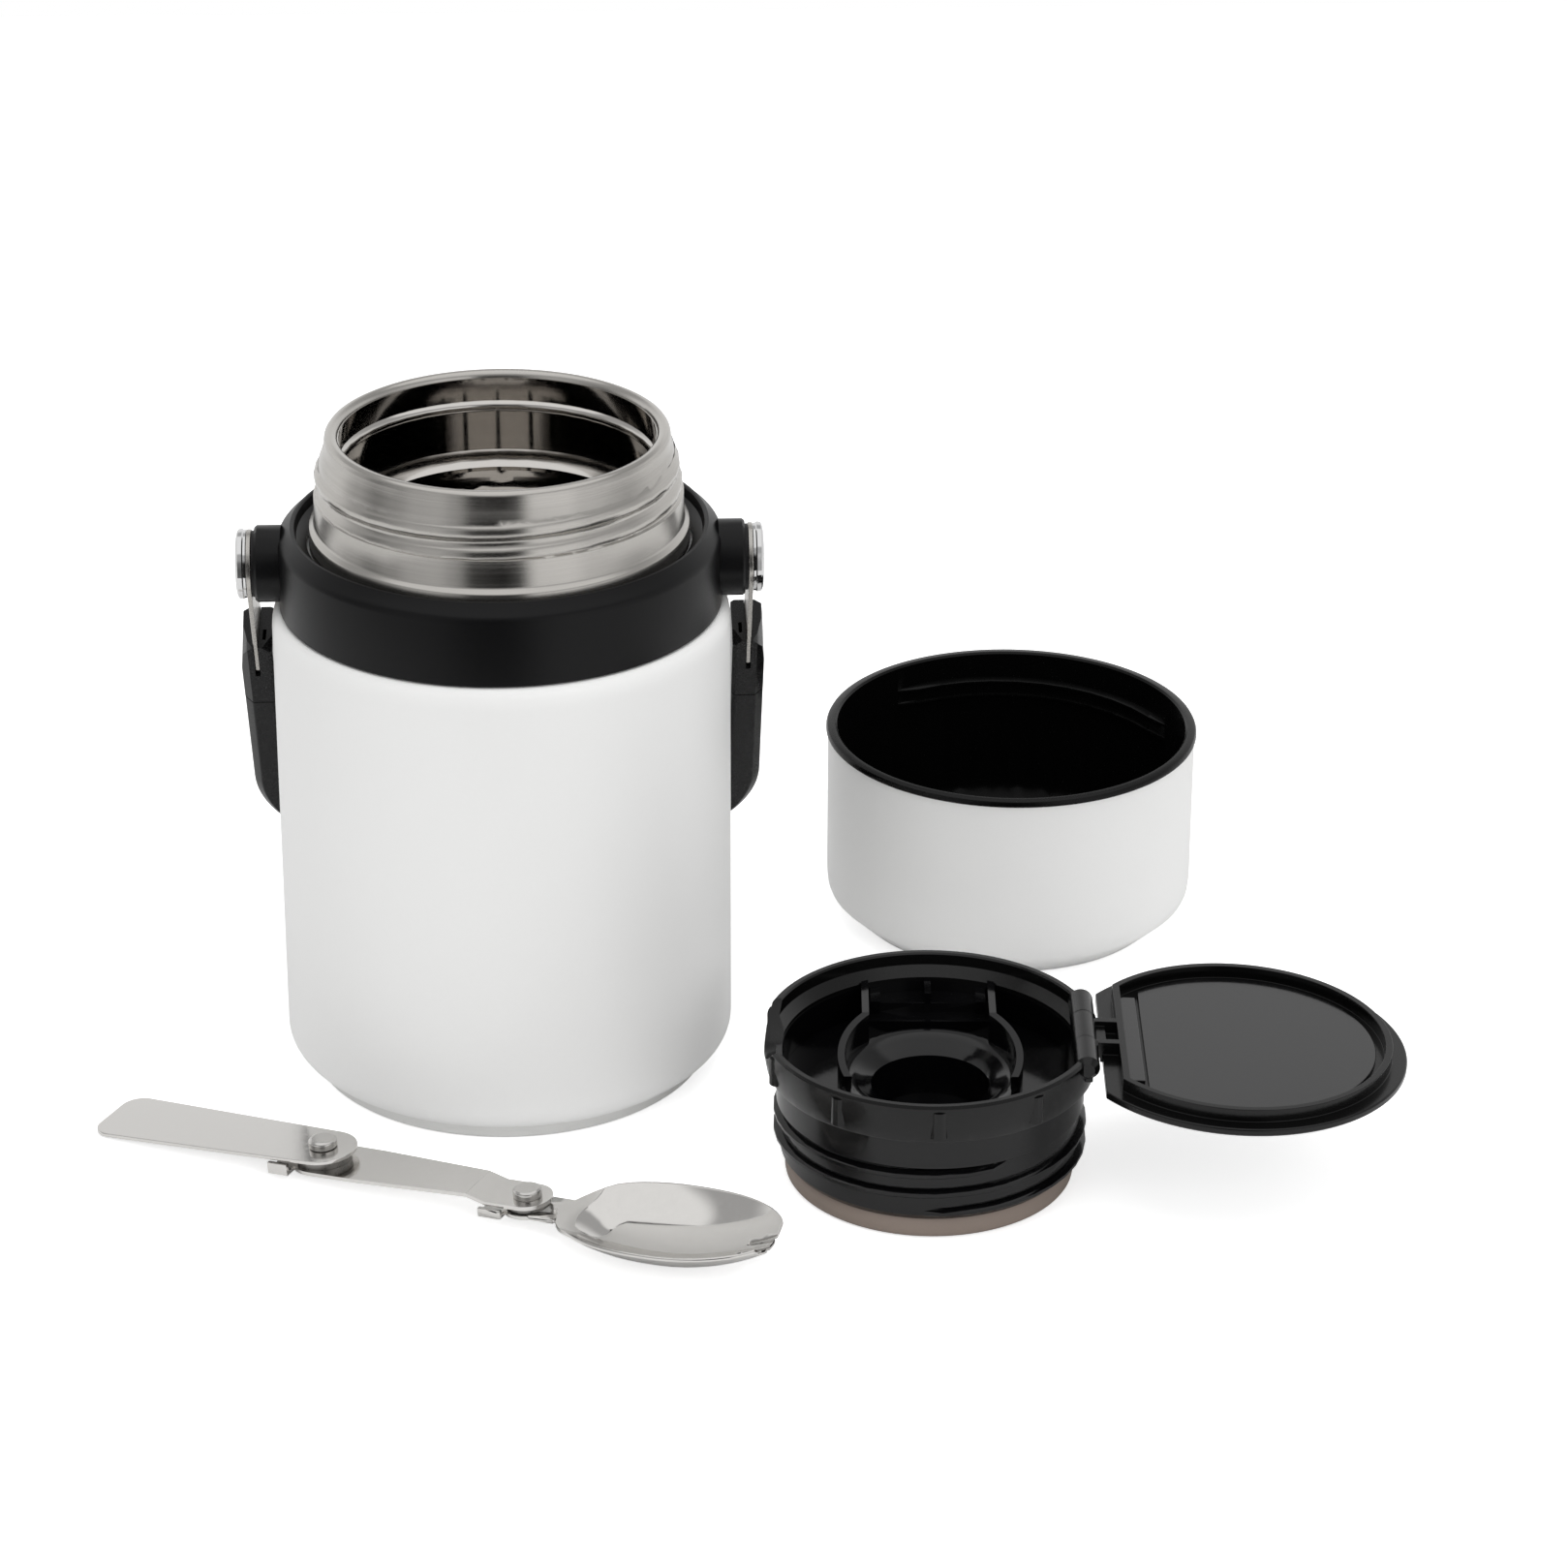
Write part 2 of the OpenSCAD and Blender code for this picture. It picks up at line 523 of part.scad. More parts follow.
// ---------- stopper ----------
module stopper_place() {
    translate([stopper_at[0], stopper_at[1], 0]) rotate([0, 0, stopper_turn]) children();
}
body_in = stop_root_r - 2.2;
base_plate_r = gasket_r - 3.6;
module stopper_body() {
    top = skirt_z + 3.6;                       // seat of the top ring
    color("black") stopper_place() {
        rotate_extrude() polygon([
            [base_plate_r - 1.5, gasket_h], [gasket_r - 0.3, gasket_h], [gasket_r + 0.2, gasket_h + 0.4],
            [stop_root_r, gasket_h + 1.8], [stop_root_r, recess_z - 4.6], [stop_band_r, recess_z - 3.8],
            [stop_band_r, top], [recess_r, top], [recess_r, recess_z - 1.6], [body_in, recess_z - 1.6],
            [body_in, gasket_h + 1.6], [base_plate_r - 1.5, gasket_h + 1.6]]);
        ridge(stop_root_r, gasket_h + 2.6, thread_pitch, -95, 2.1, 2.5, stop_thread_h, 1);
        // stop tab below the ring at the front
        translate([0, 0, skirt_z - 3.4]) rotate([0, 0, -107]) rotate_extrude(angle = 34)
            polygon([[stop_band_r - 0.4, 0.6], [stop_band_r + 0.4, 0], [stop_band_r + 1, 0.3], [stop_band_r + 1, 3.2], [stop_band_r - 0.4, 3.2]]);
    }
}

module stopper_ring() {
    top = ring_top;
    seat = skirt_z + 3.6;
    rl = ring_r - ring_draft;
    color("dimgray") stopper_place() difference() {
        union() {
            rotate_extrude() polygon([
                [stop_band_r + seat_gap, skirt_z], [rl, skirt_z], [rl + 0.2, skirt_z + 0.3], [ring_r, skirt_z + 5.6],
                [ring_r, top - 0.7], [ring_r - 0.5, top], [ring_in_r + 0.3, top], [ring_in_r - 0.1, top - 0.4],
                [ring_in_r - 0.4, top - 3], [recess_r + 0.1, seat + 1], [recess_r + 0.1, seat], [stop_band_r + seat_gap, seat]]);
            // rounded grip bars
            difference() {
                for (k = [0 : bars - 1]) rotate([0, 0, 360 / bars * (k + 0.04) + 18])
                    if (cos(360 / bars * (k + 0.04) + 18) < 0.9)
                        translate([ring_r - 1.6, 0, skirt_z + 1.4]) cylinder(r = 2.15, h = 7);
                translate([0, 0, skirt_z]) cylinder(r = ring_in_r, h = 12);
            }
            // fixed knuckles of the hinge, carried by the ring's wall
            for (q = [-1, 1]) translate([hinge_x, q * (knuckle_l / 2 + 0.15), hinge_z]) rotate([-90 * q, 0, 0])
                intersection() {
                    union() {
                        cylinder(r = barrel_r, h = (barrel_l - knuckle_l) / 2 - 1.8);
                        translate([0, 0, (barrel_l - knuckle_l) / 2 - 1.8])
                            cylinder(r1 = barrel_r, r2 = barrel_r - 1.3, h = 1.6);
                    }
                    translate([-20, -20, 0]) cube([40, 40, barrel_l]);
                }
            for (q = [-1, 1]) translate([hinge_x - 1.8, q > 0 ? knuckle_l / 2 + 0.15 : -barrel_l / 2 + 2, seat + 0.4])
                cube([3.2, (barrel_l - knuckle_l) / 2 - 2.15, hinge_z - seat - 0.4]);
        }
        // room for the lid's knuckle and its arms
        translate([hinge_x - barrel_r - 1, -knuckle_l / 2 - 0.15, seat + 1.05]) cube([20, knuckle_l + 0.3, 20]);
        // finger notch on the side away from the hinge
        translate([-ring_r, 0, top + 12]) rotate([0, 90, 0]) cylinder(r = 18.6, h = 12, center = true);
        // bore for the hinge pin
        translate([hinge_x, 0, hinge_z]) rotate([90, 0, 0]) cylinder(r = hinge_pin_r, h = barrel_l - 3, center = true);
    }
}

module keyhole(r, w, h) {
    cylinder(r = r, h = h);
    translate([-w, 0, 0]) cube([2 * w, recess_r + 1, h]);
}
module stopper_tray() {
    fl = recess_z;
    arm = key_r * 0.73;
    top = skirt_z + 5.5;
    color("black") stopper_place() difference() {
        union() {
            // recess floor with the funnel and the well
            rotate_extrude() polygon([
                [0, well_z - 1.4], [well_r + 1.2, well_z - 1.4], [well_r + 1.2, fl - 2.8], [key_r - 1, fl - 1.6],
                [recess_r - seat_gap / 2, fl - 1.6], [recess_r - seat_gap / 2, fl], [key_r, fl], [key_r, fl + 2], [key_r - 2.4, fl + 2],
                [well_r + 0.4, fl - 0.9], [well_r, fl - 1.2], [well_r - 0.3, well_z], [0, well_z]]);
            // keyhole-shaped wall
            translate([0, 0, fl - 0.5]) intersection() {
                difference() {
                    keyhole(key_r, arm, top - fl + 0.5);
                    translate([0, 0, -1]) keyhole(key_r - key_t, arm - key_t, 30);
                }
                cylinder(r = recess_r - seat_gap / 2, h = 30);
                translate([-50, -8, 0]) cube([100, 60, 30]);
            }
            // shelf between the keyhole's arms, with a middle rib
            translate([0, 0, fl - 0.5]) intersection() {
                union() {
                    translate([-arm, key_r + 1.5, 0]) cube([2 * arm, 30, 3.6]);
                    translate([-arm, key_r + 6.5, 0]) cube([2 * arm, 30, 6]);
                    translate([-0.8, key_r + 6, 0]) cube([1.6, 30, 9]);
                    for (q = [-1, 1]) translate([q * (arm - 3.4) - 1.2, key_r + 3.4, 0]) cube([2.4, 30, 8]);
                }
                cylinder(r = recess_r - seat_gap / 2, h = 30);
            }
        }
        // the wall's upper edge falls towards the front
        translate([0, 15.5, top]) rotate([12, 0, 0]) translate([-50, -60, 0]) cube([100, 60, 20]);
    }
}
module stopper_base() {
    color("black") stopper_place() rotate_extrude() polygon([
        [0, 0.9], [base_plate_r - 6, 0.9], [base_plate_r - 4, 0.3], [base_plate_r, 0.3],
        [base_plate_r, gasket_h], [base_plate_r - 1.5 - seat_gap, gasket_h],
        [base_plate_r - 1.5 - seat_gap, gasket_h + 1.6], [0, gasket_h + 1.6]]);
}
module gasket() {
    color("rosybrown") stopper_place() rotate_extrude() polygon(concat(
        [[base_plate_r + 0.03, 0.35], [gasket_r - 2.4, 0]],
        arc([gasket_r - 1.4, 1.4], 1.4, 1.4, -90, 0, 4),
        [[gasket_r, gasket_h - 0.6], [gasket_r - 0.4, gasket_h], [base_plate_r + 0.03, gasket_h]]));
}
module hinge_pin() {
    color("silver") stopper_place() translate([hinge_x, 0, hinge_z]) rotate([90, 0, 0])
        cylinder(r = hinge_pin_r, h = barrel_l - 3, center = true);
}

// ---------- flip lid, drawn open: x away from the hinge, z up ----------
plate_top = -(ring_top + lid_gap - hinge_z);   // disc's inner face, below the hinge
chord_s = barrel_r + 1.3;                      // disc's straight edge
wall_s = chord_s + 3.8;                        // straight wall
module lid_place() {
    stopper_place() translate([hinge_x, 0, hinge_z]) rotate([0, lid_droop, 0]) children();
}
module lid_cut(s) {
    intersection() {
        children();
        translate([s, -60, -20]) cube([120, 120, 40]);
    }
}
module lid_disc() {
    color("dimgray") lid_place() difference() {
        union() {
            lid_cut(chord_s) translate([hinge_x, 0, 0]) rotate_extrude() polygon([
                [0, plate_top - lid_t], [lid_r - 0.6, plate_top - lid_t], [lid_r, plate_top - lid_t + 0.6],
                [lid_r, plate_top - 0.3], [lid_r - 0.3, plate_top], [0, plate_top]]);
            // raised wall with its straight run
            lid_cut(wall_s) translate([hinge_x, 0, plate_top - 0.2]) difference() {
                cylinder(r = plug_r, h = plug_h + 0.2);
                translate([0, 0, -1]) intersection() {
                    cylinder(r = plug_r - plug_t, h = 10);
                    translate([wall_s + plug_t - hinge_x, -60, -1]) cube([120, 120, 20]);
                }
            }
            // arms from the knuckle to the wall
            for (q = [-1, 1]) translate([0, q > 0 ? knuckle_l / 2 - 2.1 : -knuckle_l / 2, plate_top - 0.2])
                cube([wall_s + 0.5, 2.1, plug_h + 0.2]);
            rotate([90, 0, 0]) cylinder(r = barrel_r, h = knuckle_l, center = true);
            translate([0, -knuckle_l / 2, -1.4]) cube([chord_s + 1, knuckle_l, 1.2]);
            translate([chord_s - 0.5, -knuckle_l / 2, plate_top - lid_t]) cube([1, knuckle_l, lid_t]);
            translate([chord_s - 1.3, -knuckle_l / 2, plate_top - 0.9]) cube([1.8, knuckle_l, -0.4 - plate_top + 0.9]);
        }
        rotate([90, 0, 0]) cylinder(r = hinge_pin_r + hinge_pin_gap, h = knuckle_l + 2, center = true);
    }
}
module lid_panel() {
    pr = plug_r - plug_t - 2.2;
    z0 = plate_top;
    color("gray") lid_place() {
        // D-shaped panel
        translate([hinge_x, 0, z0]) intersection() {
            cylinder(r = pr, h = 0.9);
            translate([wall_s + plug_t + 4.6 - hinge_x, -60, -1]) cube([pr * 1.72, 120, 4]);
        }
        // narrow strip between the wall and the panel
        translate([wall_s + plug_t, -pr * 0.63, z0]) cube([3.8, pr * 1.26, 1.3]);
    }
}

// ---------- spork, drawn flat along x from the handle's free end ----------
x1 = handle_l;
x2 = handle_l + link_l;
link_z = -gap_1 - sheet;                       // lower face of the link
drop = 1.5;                                    // joggle before the second rivet
end_z = link_z - drop;
bowl_z = end_z - gap_2 - sheet;                // lower face of the bowl's root
eye_1 = 8.3;
eye_2 = 6.1;
rim_up = 1.9;                                  // bowl's rim above its root
belly = bowl_z + sheet + rim_up - bowl_d - sheet;
// the handle's end and the bowl's belly both touch the table
spork_tilt = asin(min(0.3, -belly / norm([x2 + 8 + 0.5 * (bowl_l - 8), belly])))
    + 0;
module spork_place() {
    translate([spork_at[0], spork_at[1], 0.02]) rotate([0, 0, spork_turn])
        rotate([0, -spork_tilt, 0]) children();
}
module spork_handle() {
    w = handle_w / 2;
    c = 5;
    color("silver") spork_place() difference() {
        union() {
            linear_extrude(sheet) {
                polygon([[c, -w], [x1, -eye_1], [x1, eye_1], [c, w]]);
                translate([0, -w + c]) square([c + eps, 2 * (w - c)]);
                for (q = [-1, 1]) translate([c, q * (w - c)]) circle(r = c);
                translate([x1, 0]) circle(r = eye_1);
            }
        }
        translate([x1, 0, -1]) cylinder(r = rivet_r + rivet_gap, h = sheet + 2);
    }
}
module spork_link() {
    xb = x1 + link_l * 0.76;                   // start of the joggle
    color("silver") spork_place() difference() {
        union() {
            translate([0, 0, link_z]) linear_extrude(sheet) {
                polygon([[x1, -eye_1 + 0.4], [x1 + 12, -7.8], [xb, -6.1], [xb, 6.1], [x1 + 12, 7.8], [x1, eye_1 - 0.4]]);
                translate([x1, 0]) circle(r = eye_1 - 0.4);
            }
            translate([xb - 0.1, 6.1, 0]) rotate([90, 0, 0]) linear_extrude(12.2) polygon([
                [0, link_z], [5, end_z], [5.2, end_z], [5.2, end_z + sheet], [5, end_z + sheet], [0, link_z + sheet]]);
            translate([0, 0, end_z]) linear_extrude(sheet) {
                translate([xb + 4.9, -6.1]) square([x2 - xb - 4.9, 12.2]);
                translate([x2, 0]) circle(r = eye_2);
            }
            // folded tab that steadies the open handle
            translate([x1 - 10.5, -eye_1 - 1.2, link_z]) cube([5.4, 1.1, gap_1 + sheet - 0.35]);
            translate([x1 - 10.5, -eye_1 - 0.2, link_z]) cube([5.4, 4.5, sheet]);
        }
        translate([x2, 0, end_z - 1]) cylinder(r = rivet_r, h = sheet + 2);
        translate([x1, 0, link_z - 1]) cylinder(r = rivet_r, h = sheet + 2);
    }
}
module spork_spacer_1() {
    color("dimgray") spork_place() translate([x1, 0, -gap_1]) ring(eye_1 - 1.6, rivet_r, gap_1 - side_gap);
}
module spork_spacer_2() {
    color("dimgray") spork_place() translate([x2, 0, bowl_z + sheet + side_gap]) ring(eye_2 - 0.9, rivet_r, gap_2 - side_gap);
}
module spork_rivet_1() {
    color("lightgray") spork_place() translate([x1, 0, 0]) {
        translate([0, 0, link_z - 0.5]) cylinder(r = head_r - 0.4, h = 0.5);
        translate([0, 0, link_z - 0.3]) cylinder(r = rivet_r, h = sheet + side_gap - link_z + 0.8);
        translate([0, 0, sheet + side_gap]) cylinder(r = head_r, h = head_h - 0.5);
        translate([0, 0, sheet + side_gap + head_h - 0.5]) cylinder(r1 = head_r, r2 = head_r - 0.7, h = 0.5);
    }
}
module spork_rivet_2() {
    color("lightgray") spork_place() translate([x2, 0, 0]) {
        translate([0, 0, bowl_z - side_gap - 0.9]) cylinder(r = head_r - 0.4, h = 0.9);
        translate([0, 0, bowl_z - side_gap - 0.5]) cylinder(r = rivet_r, h = end_z + sheet - bowl_z + side_gap + 1);
        translate([0, 0, end_z + sheet]) cylinder(r = head_r, h = head_h - 0.5);
        translate([0, 0, end_z + sheet + head_h - 0.5]) cylinder(r1 = head_r, r2 = head_r - 0.7, h = 0.5);
    }
}
// bowl: half width, rim height and depth along u = 0..1 from root to tip
function bw(u) = max(5.2 * (1 - ramp(u, 0.05, 0.3)) + 2 * ramp(u, 0.05, 0.3),
    bowl_w / 2 * pow(max(0, 1 - pow(abs((u - 0.53) / 0.515), 2.25)), 0.5));
function brim(u) = bowl_z + sheet + rim_up * ramp(u, 0, 0.2) + 0.2 * ramp(u, 0.6, 1);
function bdep(u) = bowl_d * ramp(u, 0.022, 0.22) * pow(max(0.02, sin(180 * (0.06 + 0.86 * u))), 0.75);
module spork_bowl() {
    nu = 26;
    nv = 16;
    l0 = bowl_l - 8;
    xs = [for (i = [0 : nu]) let (u = 0.5 - 0.5 * cos(180 * i / nu)) u];
    top = [for (u = xs, j = [0 : nv]) let (v = sin(90 * (2 * j / nv - 1)))
        [x2 + 8 + l0 * u, bw(u) * v, brim(u) - bdep(u) * (1 - v * v) - 0.12 * (1 - ramp(u, 0, 0.04))]];
    bot = [for (u = xs, j = [0 : nv]) let (v = sin(90 * (2 * j / nv - 1)))
        [x2 + 8 + l0 * u, bw(u) * v, brim(u) - bdep(u) * (1 - v * v) - sheet + 0.12 * (1 - ramp(u, 0, 0.04))]];
    k = nv + 1;
    n = (nu + 1) * k;
    quads = concat(
        [for (i = [0 : nu - 1], j = [0 : nv - 1]) [i * k + j, i * k + j + 1, (i + 1) * k + j + 1, (i + 1) * k + j]],
        [for (i = [0 : nu - 1], j = [0 : nv - 1]) [n + i * k + j, n + (i + 1) * k + j, n + (i + 1) * k + j + 1, n + i * k + j + 1]],
        [for (i = [0 : nu - 1]) [i * k, (i + 1) * k, n + (i + 1) * k, n + i * k]],
        [for (i = [0 : nu - 1]) [i * k + nv, n + i * k + nv, n + (i + 1) * k + nv, (i + 1) * k + nv]],
        [for (j = [0 : nv - 1]) [j, n + j, n + j + 1, j + 1]],
        [for (j = [0 : nv - 1]) [nu * k + j, nu * k + j + 1, n + nu * k + j + 1, n + nu * k + j]]);
    color("silver") spork_place() difference() {
        union() {
            polyhedron(concat(top, bot), [for (q = quads) each [[q[0], q[1], q[2]], [q[0], q[2], q[3]]]]);
            translate([0, 0, bowl_z]) linear_extrude(sheet) {
                translate([x2, 0]) circle(r = eye_2);
                translate([x2, -5.4]) square([9.2, 10.8]);
                // folded tab that steadies the open bowl
                translate([x2 - 10, -eye_2 - 1.2]) square([6, 4.7]);
            }
            translate([x2 - 10, -eye_2 - 1.2, bowl_z + 0.5]) cube([6, 1.1, sheet + gap_2 - 0.85]);
        }
        // slots between the tines
        for (y = [-5.43, -0.91, 3.57]) translate([x2 + bowl_l - 7.6, y - 0.75, bowl_z - 20])
            cube([20, 1.5, 40]);
        translate([x2, 0, bowl_z - 1]) cylinder(r = rivet_r + rivet_gap, h = sheet + 2);
    }
}

outer_shell();
base_cap();
inner_liner();
neck_ring();
collar();
pivot_pin_left();
pivot_pin_right();
boss_washer_left();
boss_washer_right();
spring_washer_left();
spring_washer_right();
pivot_cap_left();
pivot_cap_right();
bail_arm_left();
bail_arm_right();
grip_socket_left();
grip_socket_right();
grip_bar();
cup_shell();
cup_lining();
stopper_body();
stopper_ring();
stopper_tray();
stopper_base();
gasket();
hinge_pin();
lid_disc();
lid_panel();
spork_link();
spork_spacer_1();
spork_spacer_2();
spork_rivet_1();
spork_rivet_2();
spork_handle();
spork_bowl();
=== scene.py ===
"""Looks of the insulated food jar: finishes, fine pieces, studio and camera.

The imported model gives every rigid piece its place. This script puts a finer
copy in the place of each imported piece, dresses it, and lights the set.
Lengths are in metres unless a name ends in _mm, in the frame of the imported
model: the jar stands on the floor about the Z axis, with the bail's pivot
along X.
"""

import json
import logging
import math
from dataclasses import dataclass
from enum import Enum
from typing import Any, Callable, Sequence

import bmesh
import bpy
from mathutils import Matrix, Vector

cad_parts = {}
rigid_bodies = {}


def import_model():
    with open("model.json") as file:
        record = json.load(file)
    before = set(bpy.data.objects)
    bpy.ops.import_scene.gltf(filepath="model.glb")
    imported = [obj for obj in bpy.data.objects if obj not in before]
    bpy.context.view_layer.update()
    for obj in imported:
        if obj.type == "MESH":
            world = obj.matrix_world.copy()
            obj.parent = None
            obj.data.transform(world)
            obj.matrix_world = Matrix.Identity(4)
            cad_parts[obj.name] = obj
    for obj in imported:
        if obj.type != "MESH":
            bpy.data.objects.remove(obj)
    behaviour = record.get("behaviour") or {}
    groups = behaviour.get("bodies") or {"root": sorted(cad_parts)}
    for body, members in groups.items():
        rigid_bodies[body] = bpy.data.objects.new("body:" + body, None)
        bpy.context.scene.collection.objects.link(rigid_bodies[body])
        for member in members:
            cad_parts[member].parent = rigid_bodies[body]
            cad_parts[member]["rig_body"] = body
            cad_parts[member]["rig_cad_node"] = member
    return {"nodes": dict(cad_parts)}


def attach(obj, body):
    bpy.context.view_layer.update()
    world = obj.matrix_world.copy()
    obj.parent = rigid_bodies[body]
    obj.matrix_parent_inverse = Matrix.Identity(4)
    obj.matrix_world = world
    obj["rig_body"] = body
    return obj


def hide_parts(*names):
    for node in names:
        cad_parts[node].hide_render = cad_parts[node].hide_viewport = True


frame: dict[str, Any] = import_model()

log = logging.getLogger("food_jar")
MM = 0.001
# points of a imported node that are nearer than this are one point
MERGE_MM = 0.004
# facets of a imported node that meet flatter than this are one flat
FLAT_DEG = 0.6
# a face whose normal leans less than this across the axle is an end face
END_LEAN = 0.03
# how exactly a face has to look away from the axle to count as turned
ROUND_MATCH = 0.97
# points nearer to the axle than this have no azimuth
ON_AXLE = 1e-6
# width of the camera's sensor, and of the photograph in its own pixels
SENSOR_MM = 36.0
PHOTO_PX = 1619.0
FOCAL_PX = 5302.0


# ---------------------------------------------------------------- finishes
def srgb(code: str) -> tuple[float, float, float, float]:
    """Turn an sRGB hex colour into the linear colour that a shader takes.

    Args:
        code: Six hex digits, with or without a leading hash.

    Returns:
        Linear red, green and blue, and an alpha of one.
    """
    code = code.lstrip("#")
    parts = [int(code[i:i + 2], 16) / 255 for i in (0, 2, 4)]
    lin = [p / 12.92 if p <= 0.04045 else ((p + 0.055) / 1.055) ** 2.4 for p in parts]
    return lin[0], lin[1], lin[2], 1.0


def add_node(tree: bpy.types.NodeTree, kind: str, settings: dict[str, Any] | None = None,
             links: dict[str, bpy.types.NodeSocket] | None = None) -> bpy.types.Node:
    """Add a node to a tree, set it and link it.

    Args:
        tree: Tree that takes the node.
        kind: Blender's type name of the node.
        settings: Property names or input names, with their values.
        links: Input names, with the output socket that feeds each.

    Returns:
        The new node.
    """
    node = tree.nodes.new(kind)
    for name, value in (settings or {}).items():
        if hasattr(node, name):
            setattr(node, name, value)
        else:
            node.inputs[name].default_value = value
    for name, socket in (links or {}).items():
        tree.links.new(socket, node.inputs[name])
    return node


class Grain(Enum):
    """How a surface was made, which sets its fine pattern."""

    SPRAYED = "sprayed"
    MOULDED = "moulded"
    BRUSHED_ROUND = "brushed round"
    BRUSHED_LONG = "brushed long"
    POLISHED = "polished"
    CAST_SOFT = "cast soft"


@dataclass(frozen=True)
class Finish:
    """One real material with the way its surface was made.

    Attributes:
        name: Common name of the material and its finish.
        colour: sRGB hex colour.
        grain: How the surface was made.
        metallic: One for bare metal.
        roughness: Typical roughness, matched to the object.
        grain_mm: Real spacing of the fine pattern, in millimetres.
        bump_mm: Height of the fine pattern, in millimetres.
        spread: How much the pattern moves the roughness up and down.
        shade: How much the pattern darkens and lightens the colour.
        ior: Index of refraction, for what is not a metal.
        turn_deg: Turns of the pattern about X, Y and Z, for a long brushing.
        specular: Strength of the surface reflection of what is not a metal.
        aniso: How far a round brushing spreads reflections across its lines.
    """

    name: str
    colour: str
    grain: Grain
    metallic: float = 0.0
    roughness: float = 0.4
    grain_mm: float = 0.4
    bump_mm: float = 0.01
    spread: float = 0.06
    shade: float = 0.03
    ior: float = 1.5
    turn_deg: tuple[float, float, float] = (0.0, 0.0, 0.0)
    specular: float = 0.5
    aniso: float = 0.0

    def stretch(self) -> tuple[float, float, float]:
        """Return the pattern's repeats per metre along X, Y and Z."""
        fine = 1 / (self.grain_mm * MM)
        if self.grain is Grain.BRUSHED_ROUND:
            return 6.0, 6.0, fine
        if self.grain is Grain.BRUSHED_LONG:
            return fine * 0.012, fine, fine
        return fine, fine, fine

    def build(self) -> bpy.types.Material:
        """Build the material, or return it when it exists.

        Returns:
            The material, with its pattern on Object coordinates.
        """
        found = bpy.data.materials.get(self.name)
        if found is not None:
            return found
        mat = bpy.data.materials.new(self.name)
        mat.use_nodes = True
        tree = mat.node_tree
        shader = tree.nodes["Principled BSDF"]
        shader.inputs["Metallic"].default_value = self.metallic
        if self.metallic < 0.5:
            shader.inputs["IOR"].default_value = self.ior
            shader.inputs["Specular IOR Level"].default_value = self.specular
        if self.aniso > 0:
            shader.inputs["Anisotropic"].default_value = self.aniso
            shader.inputs["Anisotropic Rotation"].default_value = 0.25
            tangent = add_node(tree, "ShaderNodeTangent",
                               {"direction_type": "RADIAL", "axis": "Z"})
            tree.links.new(tangent.outputs["Tangent"], shader.inputs["Tangent"])
        place = add_node(tree, "ShaderNodeTexCoord")
        turned = add_node(tree, "ShaderNodeMapping",
                          {"Rotation": tuple(math.radians(a) for a in self.turn_deg)},
                          {"Vector": place.outputs["Object"]})
        spread = add_node(tree, "ShaderNodeMapping", {"Scale": self.stretch()},
                          {"Vector": turned.outputs["Vector"]})
        fine = add_node(tree, "ShaderNodeTexNoise",
                        {"Scale": 1.0, "Detail": 3.0, "Roughness": 0.6},
                        {"Vector": spread.outputs["Vector"]})
        wide = add_node(tree, "ShaderNodeTexNoise",
                        {"Scale": 45.0, "Detail": 4.0, "Roughness": 0.55},
                        {"Vector": place.outputs["Object"]})
        both = add_node(tree, "ShaderNodeMix", {"data_type": "FLOAT", "Factor": 0.35},
                        {"A": fine.outputs["Fac"], "B": wide.outputs["Fac"]})
        rough = add_node(tree, "ShaderNodeMapRange",
                         {"From Min": 0.3, "From Max": 0.7,
                          "To Min": max(0.0, self.roughness - self.spread),
                          "To Max": self.roughness + self.spread},
                         {"Value": both.outputs["Result"]})
        tree.links.new(rough.outputs["Result"], shader.inputs["Roughness"])
        tone = add_node(tree, "ShaderNodeMapRange",
                        {"From Min": 0.3, "From Max": 0.7,
                         "To Min": 1.0 - self.shade, "To Max": 1.0},
                        {"Value": both.outputs["Result"]})
        paint = add_node(tree, "ShaderNodeMix",
                         {"data_type": "RGBA", "blend_type": "MULTIPLY"})
        paint.inputs["Factor"].default_value = 1.0
        paint.inputs[6].default_value = srgb(self.colour)
        tree.links.new(tone.outputs["Result"], paint.inputs[7])
        tree.links.new(paint.outputs[2], shader.inputs["Base Color"])
        if self.bump_mm > 0:
            bump = add_node(tree, "ShaderNodeBump",
                            {"Strength": 1.0, "Distance": self.bump_mm * MM},
                            {"Height": fine.outputs["Fac"]})
            tree.links.new(bump.outputs["Normal"], shader.inputs["Normal"])
        return mat


# Powder-coated steel: an even satin white with a faint orange peel.
WHITE_COAT = Finish("powder coated steel white", "#ececeb", Grain.SPRAYED, roughness=0.42,
                    grain_mm=0.9, bump_mm=0.006, spread=0.03, shade=0.012, ior=1.5)
# ABS moulded for the base: the same white, a little duller.
BASE_ABS = Finish("ABS moulded white", "#e2e2e0", Grain.MOULDED, roughness=0.5,
                  grain_mm=0.5, bump_mm=0.01, spread=0.04, shade=0.02)
# Stainless steel turned on a lathe: fine lines run round the neck and draw its
# reflections out into upright bands.
NECK_STEEL = Finish("stainless steel brushed round", "#c6c3be", Grain.BRUSHED_ROUND, metallic=1.0,
                    roughness=0.21, grain_mm=0.35, bump_mm=0.006, spread=0.06, shade=0.14,
                    aniso=0.85)
# Stainless steel electropolished inside: near mirror, faint drawing marks.
LINER_STEEL = Finish("stainless steel electropolished", "#cfccc8", Grain.BRUSHED_ROUND,
                     metallic=1.0, roughness=0.07, grain_mm=1.6, bump_mm=0.003, spread=0.03, shade=0.06)
